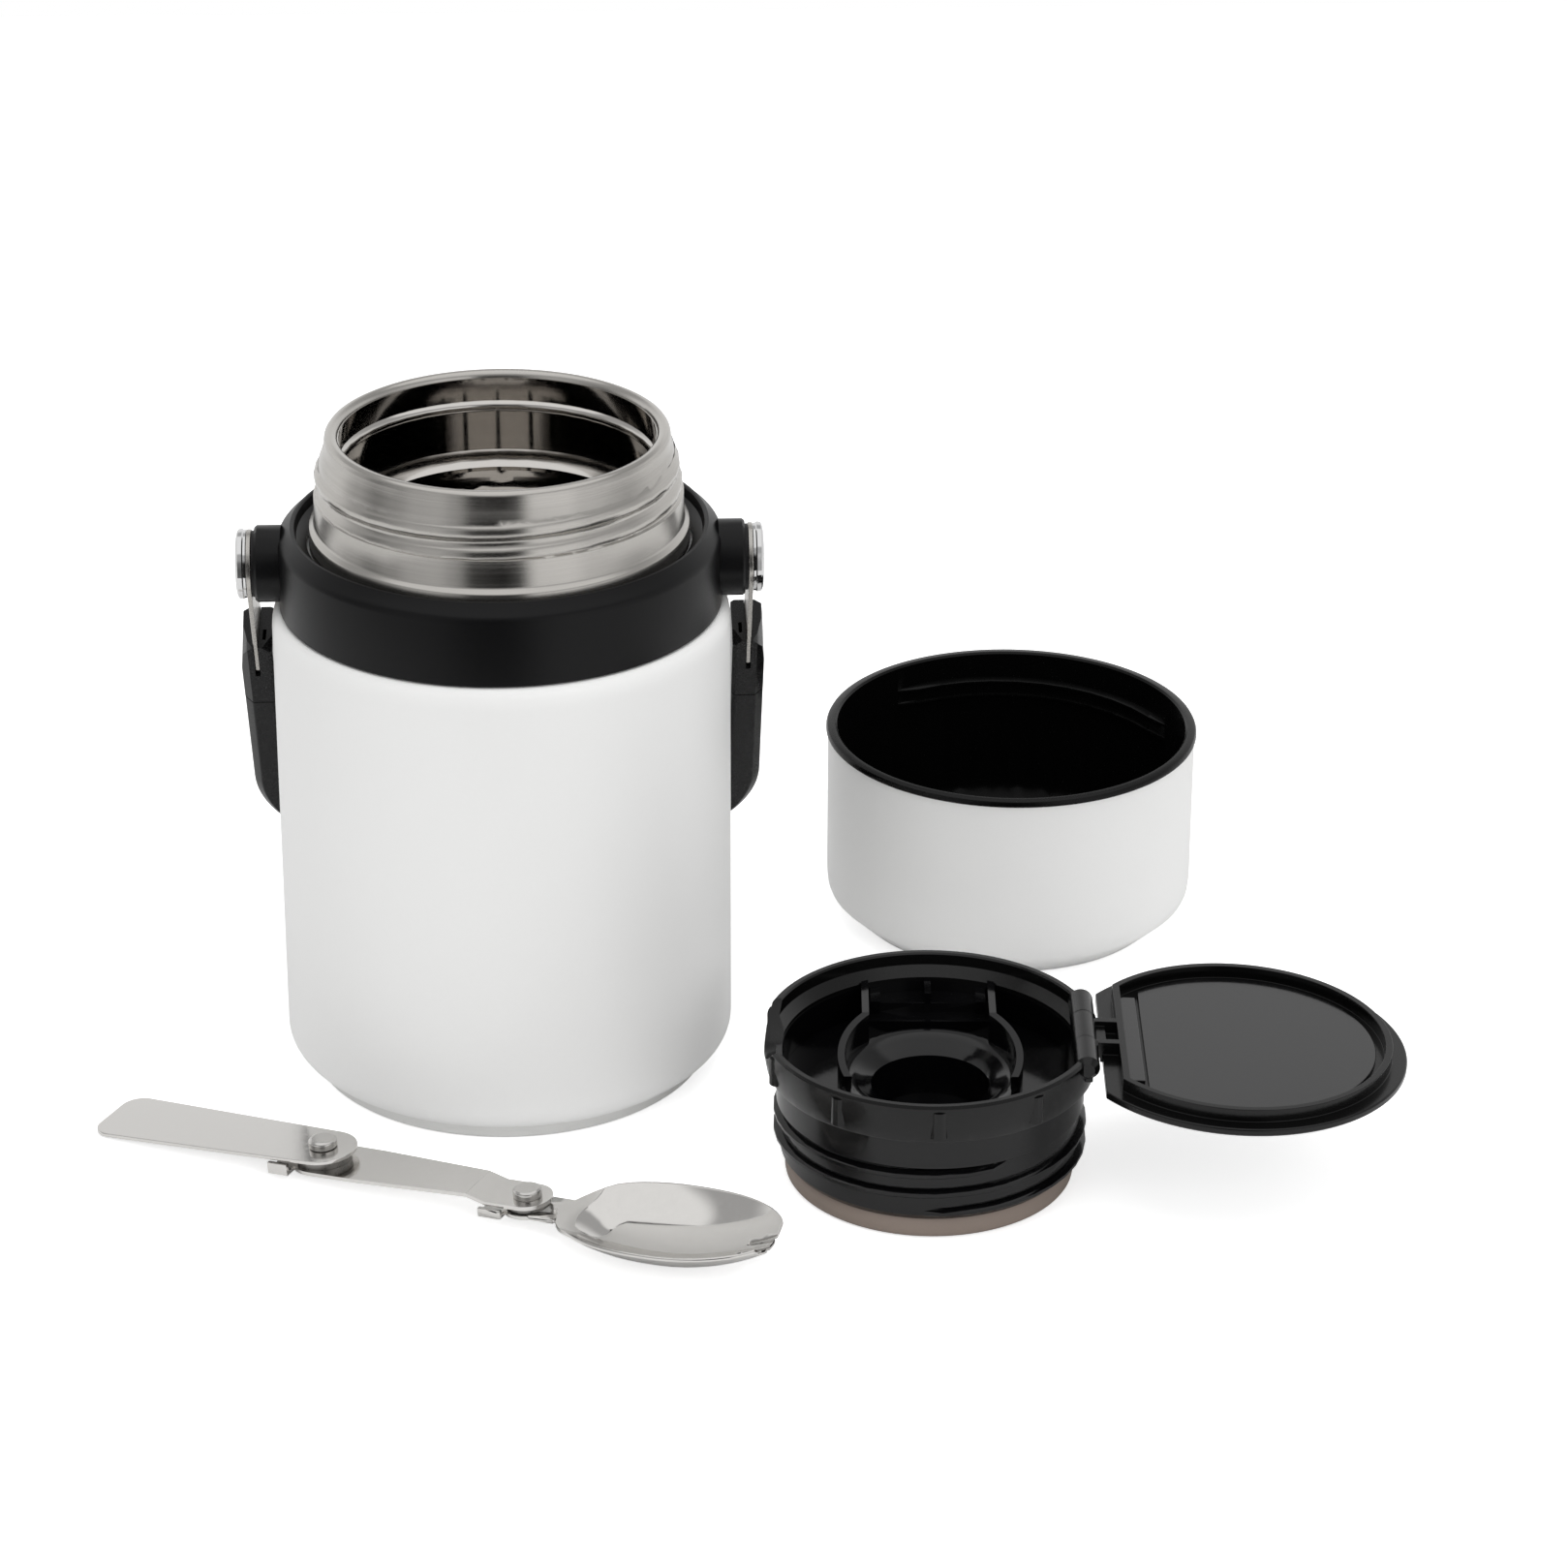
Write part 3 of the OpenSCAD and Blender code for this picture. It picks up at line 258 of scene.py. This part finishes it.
# Polypropylene moulded with a fine spark-eroded texture: satin black.
COLLAR_PP = Finish("polypropylene moulded satin black", "#0c0c0d", Grain.MOULDED, roughness=0.34,
                   grain_mm=0.35, bump_mm=0.01, spread=0.06, shade=0.2, ior=1.49, specular=0.2)
# Polypropylene moulded in a half-polished tool, for the cup's lining.
LINING_PP = Finish("polypropylene moulded black", "#050505", Grain.MOULDED, roughness=0.26,
                   grain_mm=0.6, bump_mm=0.006, spread=0.05, shade=0.2, ior=1.49, specular=0.2)
# Polypropylene moulded in a polished tool: glossy black.
GLOSS_PP = Finish("polypropylene moulded gloss black", "#060607", Grain.MOULDED, roughness=0.11,
                  grain_mm=1.2, bump_mm=0.004, spread=0.04, shade=0.15, ior=1.49, specular=0.42)
# The same in the lid's shallow panel, which mirrors the pale surround evenly.
PANEL_PP = Finish("polypropylene moulded panel black", "#0b0b0c", Grain.MOULDED, roughness=0.14,
                  grain_mm=1.6, bump_mm=0.004, spread=0.03, shade=0.1, ior=1.49, specular=0.85)
# Polypropylene with a satin tool texture for what is gripped.
SATIN_PP = Finish("polypropylene moulded fine texture", "#070708", Grain.MOULDED, roughness=0.28,
                  grain_mm=0.3, bump_mm=0.01, spread=0.06, shade=0.2, ior=1.49, specular=0.14)
# Polypropylene from a polished tool, dulled by handling: the ring and the lid's disc.
RING_PP = Finish("polypropylene moulded half gloss black", "#090909", Grain.MOULDED, roughness=0.2,
                 grain_mm=0.7, bump_mm=0.006, spread=0.06, shade=0.15, ior=1.49, specular=0.36)
# Stainless rivet heads, spun over and a little duller than the sheet.
RIVET_STEEL = Finish("stainless steel spun rivet", "#cfcdca", Grain.POLISHED, metallic=1.0,
                     roughness=0.16, grain_mm=0.8, bump_mm=0.002, spread=0.05, shade=0.08)
# Steel stamped and chrome plated for the pivot caps.
CHROME = Finish("steel chrome plated", "#dcdcdc", Grain.POLISHED, metallic=1.0,
                roughness=0.07, grain_mm=2.0, bump_mm=0.0, spread=0.03, shade=0.05)
# Stainless strip, brushed along its length, with bright cut edges.
STRIP_STEEL = Finish("stainless strip brushed long", "#bdbab5", Grain.BRUSHED_LONG, metallic=1.0,
                     roughness=0.28, grain_mm=0.3, bump_mm=0.01, spread=0.1, shade=0.12,
                     turn_deg=(0.0, 90.0, 0.0))
# Nylon washer, dull black.
NYLON = Finish("nylon moulded black", "#0f0f10", Grain.MOULDED, roughness=0.5,
               grain_mm=0.3, bump_mm=0.01, spread=0.06, shade=0.2, ior=1.53, specular=0.3)
# Silicone pressed in a tool: matte taupe, slightly dusty.
SILICONE = Finish("silicone moulded taupe", "#8a7d74", Grain.CAST_SOFT, roughness=0.5,
                  grain_mm=0.7, bump_mm=0.01, spread=0.07, shade=0.06, ior=1.41)
# Stainless sheet, stamped and tumble polished: clear but soft reflections.
SPORK_STEEL = Finish("stainless steel tumble polished", "#dbd9d6", Grain.POLISHED, metallic=1.0,
                     roughness=0.14, grain_mm=1.4, bump_mm=0.001, spread=0.03, shade=0.04)
# The bowl is buffed after drawing, to a mirror.
BOWL_STEEL = Finish("stainless steel buffed", "#d8d6d3", Grain.POLISHED, metallic=1.0,
                    roughness=0.07, grain_mm=2.2, bump_mm=0.0, spread=0.03, shade=0.04)
# Stainless washer, its surface dull from the press. Its colour is darker than the steel's own: painted
# shade for the shadow and dark reflection in the gap between the spork's plates.
SPACER_STEEL_PAINTED_SHADE = Finish("stainless steel spacer painted shade", "#8c8a87", Grain.POLISHED, metallic=1.0,
                      roughness=0.3, grain_mm=0.6, bump_mm=0.006, spread=0.1, shade=0.15)


# ---------------------------------------------------------------- modelling helpers
@dataclass(frozen=True)
class Axle:
    """An axis that pieces are turned about.

    Attributes:
        at_mm: A point on the axis, in millimetres.
        along: The axis' direction.
    """

    at_mm: tuple[float, float, float]
    along: tuple[float, float, float] = (0.0, 0.0, 1.0)


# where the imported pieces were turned: the jar, the bail's pivot, the cup and the stopper
JAR_AXLE = Axle((0.0, 0.0, 0.0))
PIVOT_AXLE = Axle((0.0, 0.0, 133.2), (1.0, 0.0, 0.0))
CUP_AXLE = Axle((132.7, 73.85, 0.0))
STOPPER_AXLE = Axle((101.8, -67.4, 0.0))


def clear_choice() -> None:
    """Leave edit mode and deselect everything."""
    if bpy.context.object is not None and bpy.context.object.mode != "OBJECT":
        bpy.ops.object.mode_set(mode="OBJECT")
    bpy.ops.object.select_all(action="DESELECT")


def choose(obj: bpy.types.Object) -> None:
    """Make one object the only selected and the active one.

    Args:
        obj: The object.
    """
    clear_choice()
    obj.select_set(True)
    bpy.context.view_layer.objects.active = obj


def mark(obj: bpy.types.Object, test: Callable[[Any], bool], kind: str = "FACE") -> None:
    """Select the elements of a mesh that pass a test, and stay in edit mode.

    Args:
        obj: The mesh object.
        test: Says which faces, edges or vertices are meant.
        kind: FACE, EDGE or VERT.
    """
    choose(obj)
    bpy.ops.object.mode_set(mode="EDIT")
    bpy.ops.mesh.select_mode(type=kind)
    bpy.ops.mesh.select_all(action="DESELECT")
    mesh = bmesh.from_edit_mesh(obj.data)
    group = {"FACE": mesh.faces, "EDGE": mesh.edges, "VERT": mesh.verts}[kind]
    for item in group:
        if test(item):
            item.select_set(True)
    mesh.select_flush_mode()
    bmesh.update_edit_mesh(obj.data)


def done_editing() -> None:
    """Go back to object mode."""
    bpy.ops.object.mode_set(mode="OBJECT")


def modify(obj: bpy.types.Object, kind: str, **settings: Any) -> None:
    """Add a modifier, set it and apply it.

    Args:
        obj: The object.
        kind: Blender's type name of the modifier.
        **settings: The modifier's properties.
    """
    choose(obj)
    mod = obj.modifiers.new(kind.title(), kind)
    for name, value in settings.items():
        setattr(mod, name, value)
    bpy.ops.object.modifier_apply(modifier=mod.name)


def smooth(obj: bpy.types.Object, angle_deg: float = 32.0) -> None:
    """Shade a piece smooth up to an angle.

    Args:
        obj: The piece.
        angle_deg: Sharpest angle that still looks round.
    """
    choose(obj)
    bpy.ops.object.shade_smooth_by_angle(angle=math.radians(angle_deg))


def hand_over(obj: bpy.types.Object, name: str, finish: Finish, body: str,
              replaces: Sequence[str] = (), angle_deg: float = 32.0) -> bpy.types.Object:
    """Name a finished piece, dress it and let it ride on its body.

    Args:
        obj: The finished piece, in the shared frame.
        name: Its name.
        finish: Its finish.
        body: The body that it moves with.
        replaces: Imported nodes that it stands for.
        angle_deg: Sharpest angle that still looks round.

    Returns:
        The piece.
    """
    obj.name = name
    obj.data.name = name
    smooth(obj, angle_deg)
    obj.data.materials.clear()
    obj.data.materials.append(finish.build())
    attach(obj, body)
    if replaces:
        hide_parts(*replaces)
    log.info("%s: %d faces, %s", name, len(obj.data.polygons), finish.name)
    return obj


def copy_node(node: str) -> bpy.types.Object:
    """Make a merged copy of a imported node.

    Args:
        node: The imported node.

    Returns:
        The copy, which rides on nothing yet.
    """
    choose(frame["nodes"][node])
    bpy.ops.object.duplicate()
    copy = bpy.context.object
    copy.parent = None
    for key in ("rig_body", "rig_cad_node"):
        if key in copy:
            del copy[key]
    mark(copy, lambda item: True, "VERT")
    bpy.ops.mesh.remove_doubles(threshold=MERGE_MM * MM)
    done_editing()
    return copy


def edge_node(node: str, finish: Finish, body: str, bevel_mm: float = 0.15,
              angle_deg: float = 34.0) -> bpy.types.Object:
    """Make a copy of a flat-sided node, with the small radius that real edges have.

    Its flat regions are joined, its sharp edges are rounded, and the flats
    keep their own normals so that only the radius bends a reflection.

    Args:
        node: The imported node.
        finish: Its finish.
        body: The body that it moves with.
        bevel_mm: Radius on the sharp edges.
        angle_deg: Edges sharper than this get the radius.

    Returns:
        The copy.
    """
    copy = copy_node(node)
    mark(copy, lambda item: True, "VERT")
    bpy.ops.mesh.dissolve_limited(angle_limit=math.radians(FLAT_DEG))
    done_editing()
    if bevel_mm > 0:
        modify(copy, "BEVEL", width=bevel_mm * MM, segments=2, limit_method="ANGLE",
               angle_limit=math.radians(angle_deg), use_clamp_overlap=True,
               harden_normals=False, miter_outer="MITER_ARC")
    hand_over(copy, f"{node}_fine", finish, body, (node,), 38.0)
    modify(copy, "WEIGHTED_NORMAL", mode="FACE_AREA", weight=90, keep_sharp=True)
    return copy


def drawn_node(node: str, finish: Finish, body: str,
               soft_deg: float = 50.0) -> bpy.types.Object:
    """Make a copy of a deep-drawn piece, which is shaded round all over.

    Args:
        node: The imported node.
        finish: Its finish.
        body: The body that it moves with.
        soft_deg: Edges softer than this are shaded round.

    Returns:
        The copy.
    """
    return hand_over(copy_node(node), f"{node}_fine", finish, body, (node,), soft_deg)


def turned_node(node: str, finish: Finish, body: str, axle: Axle,
                soft_deg: float = 34.0) -> bpy.types.Object:
    """Make a copy of a turned node, with the normals of its true round surface.

    Every face that lies on a surface of revolution gives its corners the
    normal that the surface has at each corner's own azimuth.

    Args:
        node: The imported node.
        finish: Its finish.
        body: The body that it moves with.
        axle: The axis that the piece was turned about.
        soft_deg: Profile corners softer than this are shaded round.

    Returns:
        The copy.
    """
    copy = hand_over(copy_node(node), f"{node}_fine", finish, body, (node,), soft_deg)
    mesh = copy.data
    origin, along = Vector(axle.at_mm) * MM, Vector(axle.along).normalized()
    slopes: list[tuple[float, float] | None] = []
    for face in mesh.polygons:
        out = face.center - origin
        out -= along * out.dot(along)
        lift = face.normal.dot(along)
        side = face.normal - along * lift
        if side.length < END_LEAN:
            slopes.append((0.0, math.copysign(1.0, lift)))
        elif (out.length > ON_AXLE
              and abs(side.dot(out)) > ROUND_MATCH * side.length * out.length):
            slopes.append((math.copysign(side.length, side.dot(out)), lift))
        else:
            slopes.append(None)
    users: dict[int, list[int]] = {}
    for face in mesh.polygons:
        for vert in face.vertices:
            users.setdefault(vert, []).append(face.index)
    near = math.cos(math.radians(soft_deg))
    normals: list[tuple[float, ...]] = [(0.0, 0.0, 1.0)] * len(mesh.loops)
    for face in mesh.polygons:
        mine = slopes[face.index]
        if mine is None:
            for loop in face.loop_indices:
                total = Vector()
                for other in users[mesh.loops[loop].vertex_index]:
                    facet = mesh.polygons[other]
                    if slopes[other] is None and facet.normal.dot(face.normal) > near:
                        total += facet.normal * facet.area
                normals[loop] = tuple(total.normalized())
            continue
        for loop in face.loop_indices:
            vert = mesh.loops[loop].vertex_index
            out = mesh.vertices[vert].co - origin
            out -= along * out.dot(along)
            reach, lift, seen = 0.0, 0.0, set()
            for other in users[vert]:
                slope = slopes[other]
                if slope is None or mine[0] * slope[0] + mine[1] * slope[1] < near:
                    continue
                key = (round(slope[0], 2), round(slope[1], 2))
                if key not in seen:
                    seen.add(key)
                    reach, lift = reach + slope[0], lift + slope[1]
            if out.length > ON_AXLE:
                normals[loop] = tuple((out.normalized() * reach + along * lift).normalized())
            else:
                normals[loop] = tuple(along * math.copysign(1.0, lift))
    mesh.normals_split_custom_set(normals)
    return copy


@dataclass
class Studio:
    """Soft white studio with large panels.

    Attributes:
        floor_box: Low x, low y, high x and high y of the floor.
        world_fill: Strength of the surround's soft light.
        walls: Azimuth from the camera's side, in degrees, with the brightness
            that polished surfaces see there.
        panels: Name, place, aim, size and power of each area lamp.
    """

    floor_box: tuple[float, float, float, float] = (-0.75, -0.27, 0.85, 0.9)
    world_fill: float = 0.74
    walls: tuple[tuple[float, float], ...] = (
        (-180, 0.9), (-120, 0.87), (-100, 0.5), (-83, 0.26), (-68, 0.38), (-54, 0.56),
        (-38, 0.6), (-27, 0.44), (-15, 0.05), (2, 0.01), (11, 0.05), (23, 0.92), (44, 0.95),
        (57, 0.78), (90, 0.55), (120, 0.8), (180, 0.9))
    panels: tuple[tuple[str, tuple[float, float, float], tuple[float, float, float],
                        tuple[float, float], float], ...] = (
        ("panel over", (0.1, -0.1, 1.4), (0.05, 0.0, 0.0), (1.1, 0.9), 6.5),
        ("panel left", (-1.0, -1.15, 0.8), (0.0, 0.0, 0.08), (0.6, 0.9), 1.6),
        ("panel right", (0.8, -1.3, 0.8), (0.05, 0.0, 0.08), (0.6, 0.9), 4.6),
    )

    def world(self) -> None:
        """Set a white surround for the eye, walls for reflections, and a softer fill."""
        world = bpy.data.worlds.new("studio surround")
        bpy.context.scene.world = world
        world.use_nodes = True
        tree = world.node_tree
        tree.nodes.clear()
        path = add_node(tree, "ShaderNodeLightPath")
        place = add_node(tree, "ShaderNodeTexCoord")
        split = add_node(tree, "ShaderNodeSeparateXYZ", {}, {"Vector": place.outputs["Generated"]})
        toward = add_node(tree, "ShaderNodeMath", {"operation": "MULTIPLY"})
        tree.links.new(split.outputs["Y"], toward.inputs[0])
        toward.inputs[1].default_value = -1.0
        around = add_node(tree, "ShaderNodeMath", {"operation": "ARCTAN2"})
        tree.links.new(split.outputs["X"], around.inputs[0])
        tree.links.new(toward.outputs["Value"], around.inputs[1])
        share = add_node(tree, "ShaderNodeMapRange",
                         {"From Min": -math.pi, "From Max": math.pi, "To Min": 0.0, "To Max": 1.0},
                         {"Value": around.outputs["Value"]})
        side = add_node(tree, "ShaderNodeValToRGB", {}, {"Fac": share.outputs["Result"]})
        ramp = side.color_ramp
        ramp.interpolation = "EASE"
        while len(ramp.elements) < len(self.walls):
            ramp.elements.new(0.5)
        for stop, (azimuth, _) in zip(ramp.elements, self.walls):
            stop.position = (azimuth + 180.0) / 360.0
        for stop, (_, level) in zip(ramp.elements, self.walls):
            stop.color = (level, level, level, 1.0)
        # overhead the walls give way to a grey ceiling with one bright panel
        up = add_node(tree, "ShaderNodeMapRange",
                      {"interpolation_type": "SMOOTHSTEP", "From Min": 0.35, "From Max": 0.6,
                       "To Min": 0.0, "To Max": 1.0}, {"Value": split.outputs["Z"]})
        overhead = add_node(tree, "ShaderNodeMapRange",
                            {"interpolation_type": "SMOOTHSTEP", "From Min": 0.74, "From Max": 0.82,
                             "To Min": 0.46, "To Max": 1.0}, {"Value": split.outputs["Z"]})
        dome = add_node(tree, "ShaderNodeMix", {"data_type": "RGBA"})
        tree.links.new(up.outputs["Result"], dome.inputs["Factor"])
        tree.links.new(side.outputs["Color"], dome.inputs[6])
        tree.links.new(overhead.outputs["Result"], dome.inputs[7])
        fill = add_node(tree, "ShaderNodeBackground",
                        {"Color": (1, 1, 1, 1), "Strength": self.world_fill})
        mirror = add_node(tree, "ShaderNodeBackground", {"Strength": 1.0},
                          {"Color": dome.outputs[2]})
        seen = add_node(tree, "ShaderNodeBackground", {"Color": (1, 1, 1, 1), "Strength": 1.0})
        glossy = add_node(tree, "ShaderNodeMixShader", {},
                          {"Fac": path.outputs["Is Glossy Ray"]})
        tree.links.new(fill.outputs["Background"], glossy.inputs[1])
        tree.links.new(mirror.outputs["Background"], glossy.inputs[2])
        eye = add_node(tree, "ShaderNodeMixShader", {}, {"Fac": path.outputs["Is Camera Ray"]})
        tree.links.new(glossy.outputs["Shader"], eye.inputs[1])
        tree.links.new(seen.outputs["Background"], eye.inputs[2])
        add_node(tree, "ShaderNodeOutputWorld", {}, {"Surface": eye.outputs["Shader"]})

    def floor(self) -> None:
        """Lay a white floor that keeps only a breath of the object's shadow."""
        x0, y0, x1, y1 = self.floor_box
        bpy.ops.object.select_all(action="DESELECT")
        bpy.ops.mesh.primitive_plane_add(
            size=1.0, location=((x0 + x1) / 2, (y0 + y1) / 2, -0.0002))
        sheet = bpy.context.object
        sheet.scale = (x1 - x0, y1 - y0, 1.0)
        bpy.ops.object.transform_apply(location=True, rotation=True, scale=True)
        sheet.name = "studio_floor"
        mat = bpy.data.materials.new("paper sweep white")
        mat.use_nodes = True
        tree = mat.node_tree
        shader = tree.nodes["Principled BSDF"]
        shader.inputs["Base Color"].default_value = srgb("#f0f0f0")
        shader.inputs["Roughness"].default_value = 0.9
        path = add_node(tree, "ShaderNodeLightPath")
        glow = add_node(tree, "ShaderNodeMapRange",
                        {"From Min": 0.0, "From Max": 1.0, "To Min": 0.0, "To Max": 0.62},
                        {"Value": path.outputs["Is Camera Ray"]})
        shader.inputs["Emission Color"].default_value = (1, 1, 1, 1)
        tree.links.new(glow.outputs["Result"], shader.inputs["Emission Strength"])
        sheet.data.materials.append(mat)

    def lamps(self) -> None:
        """Hang the soft panels."""
        for name, place, aim, size, power in self.panels:
            data = bpy.data.lights.new(name, "AREA")
            data.shape = "RECTANGLE"
            data.size, data.size_y = size
            data.energy = power
            lamp = bpy.data.objects.new(name, data)
            bpy.context.scene.collection.objects.link(lamp)
            lamp.location = place
            look = Vector(aim) - Vector(place)
            lamp.rotation_euler = look.to_track_quat("-Z", "Y").to_euler()
            # polished pieces mirror the walls, not the lamps
            lamp.visible_glossy = False

    def build(self) -> None:
        """Set the world, the floor and the lamps."""
        self.world()
        self.floor()
        self.lamps()
        log.info("studio ready with %d panels", len(self.panels))


@dataclass
class Viewpoint:
    """Camera at the photograph's viewpoint.

    Attributes:
        place: Where the lens is.
        yaw_deg: Turn towards +X, from looking along +Y.
        pitch_deg: Tilt down.
        roll_deg: Turn about the line of sight.
        lens_mm: Focal length for the sensor's width.
    """

    place: tuple[float, float, float] = (0.01682, -1.15588, 0.61881)
    yaw_deg: float = 2.6
    pitch_deg: float = 25.311
    roll_deg: float = 0.169
    lens_mm: float = FOCAL_PX / PHOTO_PX * SENSOR_MM

    def build(self) -> None:
        """Make the camera and give it to the scene."""
        data = bpy.data.cameras.new("photo camera")
        data.lens = self.lens_mm
        data.sensor_width = SENSOR_MM
        data.clip_start, data.clip_end = 0.05, 20.0
        cam = bpy.data.objects.new("photo camera", data)
        bpy.context.scene.collection.objects.link(cam)
        turn = (Matrix.Rotation(math.radians(-self.yaw_deg), 4, "Z")
                @ Matrix.Rotation(math.radians(90 - self.pitch_deg), 4, "X")
                @ Matrix.Rotation(math.radians(self.roll_deg), 4, "Z"))
        cam.matrix_world = Matrix.Translation(self.place) @ turn
        bpy.context.scene.camera = cam
        log.info("camera ready, lens %.1f mm", self.lens_mm)


# ---------------------------------------------------------------- sub-assemblies
@dataclass(frozen=True)
class Piece:
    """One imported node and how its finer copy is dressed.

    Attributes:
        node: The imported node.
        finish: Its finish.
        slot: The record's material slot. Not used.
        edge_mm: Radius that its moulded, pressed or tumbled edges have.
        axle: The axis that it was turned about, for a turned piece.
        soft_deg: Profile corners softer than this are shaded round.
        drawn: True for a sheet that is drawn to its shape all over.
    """

    node: str
    finish: Finish
    slot: str
    edge_mm: float = 0.2
    axle: Axle | None = None
    soft_deg: float = 34.0
    drawn: bool = False


@dataclass
class Assembly:
    """A sub-assembly whose rigid pieces ride on one body.

    Attributes:
        body: The body that the pieces move with.
        pieces: The pieces, each with its finish and edge radius.
    """

    body: str = "jar"
    pieces: tuple[Piece, ...] = ()

    def build(self) -> None:
        """Dress every piece."""
        for piece in self.pieces:
            if piece.drawn:
                drawn_node(piece.node, piece.finish, self.body, piece.soft_deg)
            elif piece.axle is None:
                edge_node(piece.node, piece.finish, self.body, piece.edge_mm)
            else:
                turned_node(piece.node, piece.finish, self.body, piece.axle,
                            piece.soft_deg)


@dataclass
class Jar(Assembly):
    """The jar with its neck, collar and bail pivots."""

    body: str = "jar"
    pieces: tuple[Piece, ...] = (
        Piece("outer_shell", WHITE_COAT, "white_coat", axle=JAR_AXLE),
        Piece("base_cap", BASE_ABS, "base_plastic", axle=JAR_AXLE),
        Piece("inner_liner", LINER_STEEL, "liner_steel", axle=JAR_AXLE, soft_deg=50.0),
        Piece("neck_ring", NECK_STEEL, "neck_steel", axle=JAR_AXLE, soft_deg=62.0),
        Piece("collar", COLLAR_PP, "collar_black", axle=JAR_AXLE),
        Piece("pivot_pin_left", CHROME, "pin_steel", axle=PIVOT_AXLE),
        Piece("pivot_pin_right", CHROME, "pin_steel", axle=PIVOT_AXLE),
        Piece("boss_washer_left", NYLON, "washer_black", axle=PIVOT_AXLE),
        Piece("boss_washer_right", NYLON, "washer_black", axle=PIVOT_AXLE),
        Piece("spring_washer_left", CHROME, "pin_steel", axle=PIVOT_AXLE),
        Piece("spring_washer_right", CHROME, "pin_steel", axle=PIVOT_AXLE),
        Piece("pivot_cap_left", CHROME, "cap_chrome", axle=PIVOT_AXLE),
        Piece("pivot_cap_right", CHROME, "cap_chrome", axle=PIVOT_AXLE))


@dataclass
class Bail(Assembly):
    """The carrying bail: two steel arms and a moulded grip."""

    body: str = "bail"
    pieces: tuple[Piece, ...] = (
        Piece("bail_arm_left", STRIP_STEEL, "arm_steel", 0.15),
        Piece("bail_arm_right", STRIP_STEEL, "arm_steel", 0.15),
        Piece("grip_socket_left", SATIN_PP, "grip_black", 0.35),
        Piece("grip_socket_right", SATIN_PP, "grip_black", 0.35),
        Piece("grip_bar", SATIN_PP, "grip_black", 0.35))


@dataclass
class Cup(Assembly):
    """The cup: white steel with a black threaded lining."""

    body: str = "cup"
    pieces: tuple[Piece, ...] = (
        Piece("cup_shell", WHITE_COAT, "white_coat", axle=CUP_AXLE),
        Piece("cup_lining", LINING_PP, "lining_black", axle=CUP_AXLE))


@dataclass
class Stopper(Assembly):
    """The screw stopper with its gasket, tray and hinge pin."""

    body: str = "stopper"
    pieces: tuple[Piece, ...] = (
        Piece("stopper_body", GLOSS_PP, "stopper_gloss", axle=STOPPER_AXLE),
        Piece("stopper_ring", RING_PP, "stopper_satin", axle=STOPPER_AXLE),
        Piece("stopper_tray", GLOSS_PP, "stopper_gloss", axle=STOPPER_AXLE),
        Piece("stopper_base", GLOSS_PP, "stopper_gloss", axle=STOPPER_AXLE),
        Piece("gasket", SILICONE, "gasket_silicone", axle=STOPPER_AXLE),
        Piece("hinge_pin", CHROME, "pin_steel", 0.08))


@dataclass
class Lid(Assembly):
    """The flip lid: disc with its raised wall, and the panel inside."""

    body: str = "lid"
    pieces: tuple[Piece, ...] = (
        Piece("lid_disc", RING_PP, "stopper_satin", 0.3),
        Piece("lid_panel", PANEL_PP, "lid_gloss", 0.2))


@dataclass
class SporkLink(Assembly):
    """The folding spork's middle: link, spacers and rivets."""

    body: str = "spork"
    pieces: tuple[Piece, ...] = (
        Piece("spork_link", SPORK_STEEL, "spork_steel", 0.15),
        # the spacers carry painted shade: their dark colour stands for the shadow in the gap between
        # the plates
        Piece("spork_spacer_1", SPACER_STEEL_PAINTED_SHADE, "spacer_steel", 0.1),
        Piece("spork_spacer_2", SPACER_STEEL_PAINTED_SHADE, "spacer_steel", 0.1),
        Piece("spork_rivet_1", RIVET_STEEL, "spork_steel", 0.25),
        Piece("spork_rivet_2", RIVET_STEEL, "spork_steel", 0.25))


@dataclass
class SporkHandle(Assembly):
    """The folding spork's handle."""

    body: str = "spork_handle"
    pieces: tuple[Piece, ...] = (Piece("spork_handle", SPORK_STEEL, "spork_steel", 0.18),)


@dataclass
class SporkBowl(Assembly):
    """The folding spork's bowl with its short tines."""

    body: str = "spork_bowl"
    pieces: tuple[Piece, ...] = (
        Piece("spork_bowl", BOWL_STEEL, "spork_steel", soft_deg=50.0, drawn=True),)


def main() -> None:
    """Build the camera, the studio and every sub-assembly."""
    logging.basicConfig(level=logging.INFO, format="%(name)s: %(message)s")
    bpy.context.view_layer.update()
    bpy.context.scene.view_settings.view_transform = "Standard"
    Viewpoint().build()
    Studio().build()
    for part in (Jar(), Bail(), Cup(), Stopper(), Lid(), SporkLink(), SporkHandle(), SporkBowl()):
        part.build()
        log.info("%s done", type(part).__name__)


if __name__ == "__main__":
    main()
